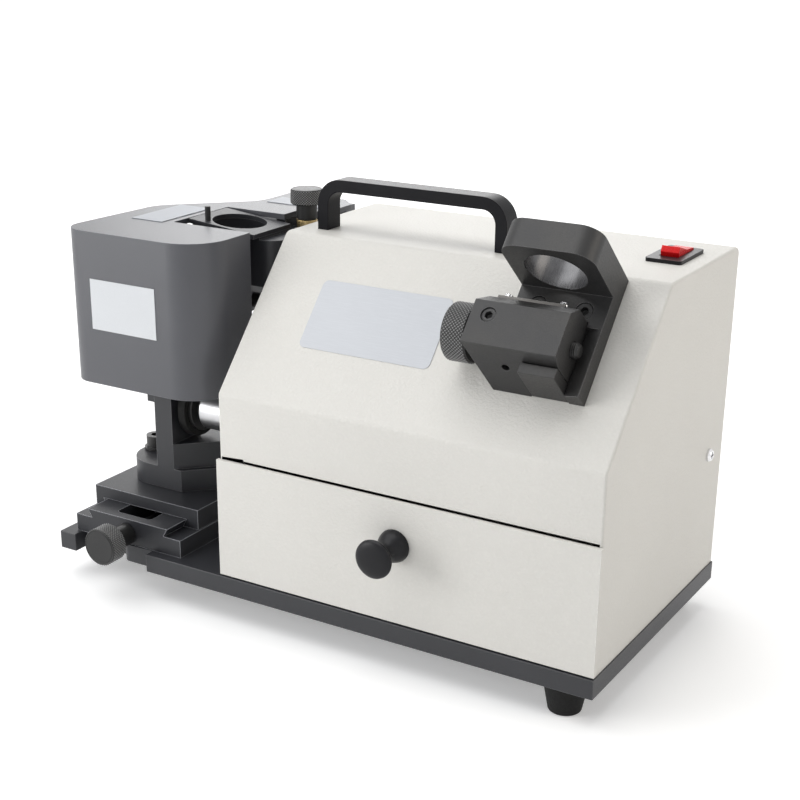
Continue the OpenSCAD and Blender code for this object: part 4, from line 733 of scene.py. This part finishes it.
# %% Setter knob
low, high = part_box("setter_knob")
knurl = {"radius": 0.0165, "length": 0.015, "count": 96, "depth": 0.0005, "flat": 0.0012}
rim, head, end = knurl["radius"] - knurl["flat"], knurl["length"], high.x - low.x
crest, root, rings, half_pitch, thread_length = 0.00445, 0.0039, 5, 0.0005, 0.0056
ring_deep = 0.0002
face = [(0.0, 0.0), (0.0142, 0.0), (0.0145, ring_deep), (0.0148, ring_deep), (rim, 0.0)]
thread = [(radius, end - thread_length + half_pitch * i) for i, radius in enumerate([crest, root] * rings)]
screw = [(rim, head), (0.0048, head), (crest, head + 0.0003), *thread, (0.0036, end - 0.0002), (0.0030, end),
         (0.0, end)]
left = Vector((low.x, (low.y + high.y) / 2, (low.z + high.z) / 2))
lying = Matrix.Translation(left) @ Matrix.Rotation(math.radians(90), 4, "Y")
knurled_knob("setter_knob", knurl, (face, screw), lying, across_axis=(0, 1, 1))

# %% [markdown]
# ### Drawer knob
# A moulded mushroom knob: a flared foot, a slim waist and a domed head. It could be shaped from a cylinder by
# scaling its rings, but the curve is easier to judge as one outline, which is then spun.

# %% Drawer knob
low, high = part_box("drawer_knob")
drawer_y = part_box("drawer_front")[0].y
dome, knob_sides = drawer_y - low.y, 72
foot = [(0.0, 0.0), (0.0098, 0.0), (0.0100, 0.0005), (0.0099, 0.0013), (0.0096, 0.0026), (0.0090, 0.0042),
        (0.0080, 0.0058), (0.0068, 0.0072), (0.0056, 0.0086)]
waist = [(0.0048, 0.0104), (0.0045, 0.0124), (0.0046, 0.0144), (0.0052, 0.0164), (0.0064, 0.0180)]
head = [(0.0082, 0.0192), (0.0100, 0.0201), (0.0112, 0.0211), (0.01165, 0.0222), (0.0114, 0.0233),
        (0.0106, 0.0241), (0.0090, 0.0248), (0.0066, 0.0252), (0.0036, 0.0254), (0.0, dome)]
knob = turned("drawer_knob_turned", foot + waist + head, knob_sides)
seat = Vector(((low.x + high.x) / 2, drawer_y, (low.z + high.z) / 2))
place(knob, Matrix.Translation(seat) @ Matrix.Rotation(math.radians(90), 4, "X"))
dress(knob, finishes["black_plastic"])
stand_in(knob, "drawer_knob")

# %% [markdown]
# ## Bracket of the setter
# The setter's bracket is a milled base with a bored ring. The base has a shallow groove beside the stop block:
# the groove's low points are picked by their height over the slope and raised. The ring is worn bright inside,
# where tool holders slide, so the faces at the bore's radius get a second finish. The slope leans back, so its
# own up and out directions are worked out first.

# %% Directions of the slope
lean = math.radians(48.675)
up_slope = Vector((0, math.cos(lean), math.sin(lean)))
out_of_slope = Vector((0, -math.sin(lean), math.cos(lean)))
slope_foot = Vector((0, -0.0786, 0.148))
print("up the slope", up_slope[:], "out of it", out_of_slope[:])

# %% Raise the groove and soften the bracket
groove_x, groove_height, height_play, groove_rise = 0.155, 0.001, 0.0003, 0.0085
bracket_edge = 0.0006
bracket = copy_of("setter_bracket")
pick(bracket)
bpy.ops.object.mode_set(mode="EDIT")
bpy.ops.mesh.select_mode(type="VERT")
bpy.ops.mesh.select_all(action="DESELECT")
bpy.ops.object.mode_set(mode="OBJECT")
for vertex in bracket.data.vertices:
    height = (vertex.co - slope_foot).dot(out_of_slope)
    vertex.select = vertex.co.x > groove_x and abs(height - groove_height) < height_play
print("raised points", sum(v.select for v in bracket.data.vertices))
bpy.ops.object.mode_set(mode="EDIT")
bpy.ops.transform.translate(value=groove_rise * out_of_slope)
bpy.ops.object.mode_set(mode="OBJECT")
bevel_edges(bracket, bracket_edge)

# %% Bright bore of the ring
worn_bore = finish("worn_bore", (0.16, 0.16, 0.165), (0.10, 0.10, 0.105), clouds=60, grain=700,
                   grain_bump=0.00006, rough=(0.22, 0.34), metal=0.8, stretch=(1, 0.2, 0.2))
ring = next(m for m in frame["record"]["mounts"] if m["name"] == "setter_ring")
ring_middle, ring_axis = Vector(ring["pos_m"]), Vector(ring["axis"])
ring_radius, radius_play = ring["dims"]["r_mm"] / 1000, 0.0001


def from_axis(point):
    away = point - ring_middle
    return (away - away.dot(ring_axis) * ring_axis).length


second_finish(bracket, worn_bore, lambda face: abs(from_axis(face.center) - ring_radius) < radius_play)
stand_in(bracket, "setter_bracket")

# %% [markdown]
# ## Strip on the stop block
# A strip of dull steel lies on the stop block and carries two polished pins with domed buttons. The solid has
# the pins, so their upper faces only get a second finish. The buttons are turned and joined to the strip.


# %% Strip with its pins and buttons
def standing(foot, along):
    """The place of a piece made along Z that starts at a foot point and runs along a direction."""
    return Matrix.Translation(foot) @ along.to_track_quat("Z", "Y").to_matrix().to_4x4()


strip_edge, pin_length, button_sides = 0.0002, 0.0014, 32
button_places, button_up, button_out = (0.1119, 0.1450), 0.079, 0.0218
dome = [(0.0023, 0.0), (0.0023, 0.0012), (0.0019, 0.0021), (0.0011, 0.0026), (0.0, 0.0028)]
strip = copy_of("stop_strip")
bevel_edges(strip, strip_edge)
pin_top = max(v.co.dot(up_slope) for v in strip.data.vertices)
second_finish(strip, finishes["bright_steel"], lambda face: face.center.dot(up_slope) > pin_top - pin_length)
buttons = []
for x in button_places:
    foot = Vector((x, 0, 0)) + slope_foot + button_up * up_slope + button_out * out_of_slope
    button = place(turned("button", dome, button_sides), standing(foot, up_slope))
    buttons.append(dress(button, finishes["bright_steel"]))
join(strip, *buttons)
stand_in(strip, "stop_strip")

# %% [markdown]
# ## Stop block of the setter
# The stop block is milled from bar. A small hole is drilled into its slanted front, and a socket set screw
# sits in the hole on its top. The hole is cut with a boolean before the edges are softened, because a bevel
# needs the final edges.


# %% Drill and soften the stop block
def rod(name, radius, length, count, foot, along):
    """A rod that starts at a foot point and runs along a direction."""
    deselect()
    bpy.ops.mesh.primitive_cylinder_add(vertices=count, radius=radius, depth=length,
                                        location=(0, 0, length / 2))
    piece = bpy.context.active_object
    piece.name = name
    bpy.ops.object.transform_apply(location=True, rotation=True, scale=True)
    return place(piece, standing(foot, along))


def cut_out(piece, cutter):
    """Takes a cutter's shape out of a piece and throws the cutter away."""
    taken = piece.modifiers.new("cut", "BOOLEAN")
    taken.operation = "DIFFERENCE"
    taken.solver = "EXACT"
    taken.object = cutter
    pick(piece)
    bpy.ops.object.modifier_apply(modifier=taken.name)
    bpy.data.objects.remove(cutter)


block_edge, hole_radius, hole_sides, drill_length = 0.0004, 0.0023, 32, 0.012
face_out = 0.276 * out_of_slope - 0.961 * up_slope
hole_middle = Vector((0.12429, -0.06719, 0.19131))
screw_sunk = 0.0007
screw_top = Vector((0.1115, -0.06432, 0.2180)) - screw_sunk * out_of_slope
block = copy_of("stop_block")
drill_start = hole_middle + drill_length / 2 * face_out
cut_out(block, rod("drill", hole_radius, drill_length, hole_sides, drill_start, -face_out))
cut_through(block, [(middle_of("setter_knob"), out_of_slope), (hole_middle, across), (screw_top, across)])
bevel_edges(block, block_edge)
stand_in(block, "stop_block")

# %% [markdown]
# ## Screws with a hexagon socket
# Two screws are added to the solids: the set screw in the stop block's top, and a round bolt head on the
# upright, which shows between the hood and the housing. Each is a short rod. A rod with six sides is the key
# that cuts its socket, as a broach would.

# %% Set screw and bolt
screw_sides, key_sides = 48, 6


def socket_screw(name, node, foot, along, radius, length, key_radius, key_start, key_length, edge):
    """A black screw with a hexagon socket, which rides on the body of a node."""
    screw = rod(name, radius, length, screw_sides, foot, along)
    cut_out(screw, rod("hex_key", key_radius, key_length, key_sides, foot + key_start * along, along))
    dress(screw, finishes["black_oxide"])
    bevel_edges(screw, edge)
    bpy.ops.object.shade_smooth_by_angle(angle=smooth_angle)
    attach(screw, body_of[node])
    print(name, "faces", len(screw.data.polygons))


socket_screw("set_screw", "stop_block", screw_top, -out_of_slope, radius=0.0041, length=0.005,
             key_radius=0.0024, key_start=-0.003, key_length=0.0064, edge=0.0003)
bolt_foot = Vector((-0.1308, 0.0580, 0.1652))
socket_screw("upright_bolt", "upright", bolt_foot, across, radius=0.0052, length=0.0065,
             key_radius=0.0029, key_start=0.0035, key_length=0.0065, edge=0.0004)

# %% [markdown]
# ## Screw in the housing's side
# The sheet is held by a pan-head screw with a cross recess. The recess is two thin bars taken out of the head,
# one after the other, and then its edges are softened with the rest.

# %% Cross recess of the housing's screws
low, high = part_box("housing_screws")
bar_deep, bar_long, bar_thin, screw_edge = 0.0022, 0.0046, 0.0011, 0.0002
head_middle = (high.x, (low.y + high.y) / 2, (low.z + high.z) / 2)
screws = copy_of("housing_screws")
for size in ((bar_deep, bar_long, bar_thin), (bar_deep, bar_thin, bar_long)):
    deselect()
    bpy.ops.mesh.primitive_cube_add(size=1, location=head_middle, scale=size)
    bar = bpy.context.active_object
    bpy.ops.object.transform_apply(location=True, rotation=True, scale=True)
    cut_out(screws, bar)
bevel_edges(screws, screw_edge)
stand_in(screws, "housing_screws")
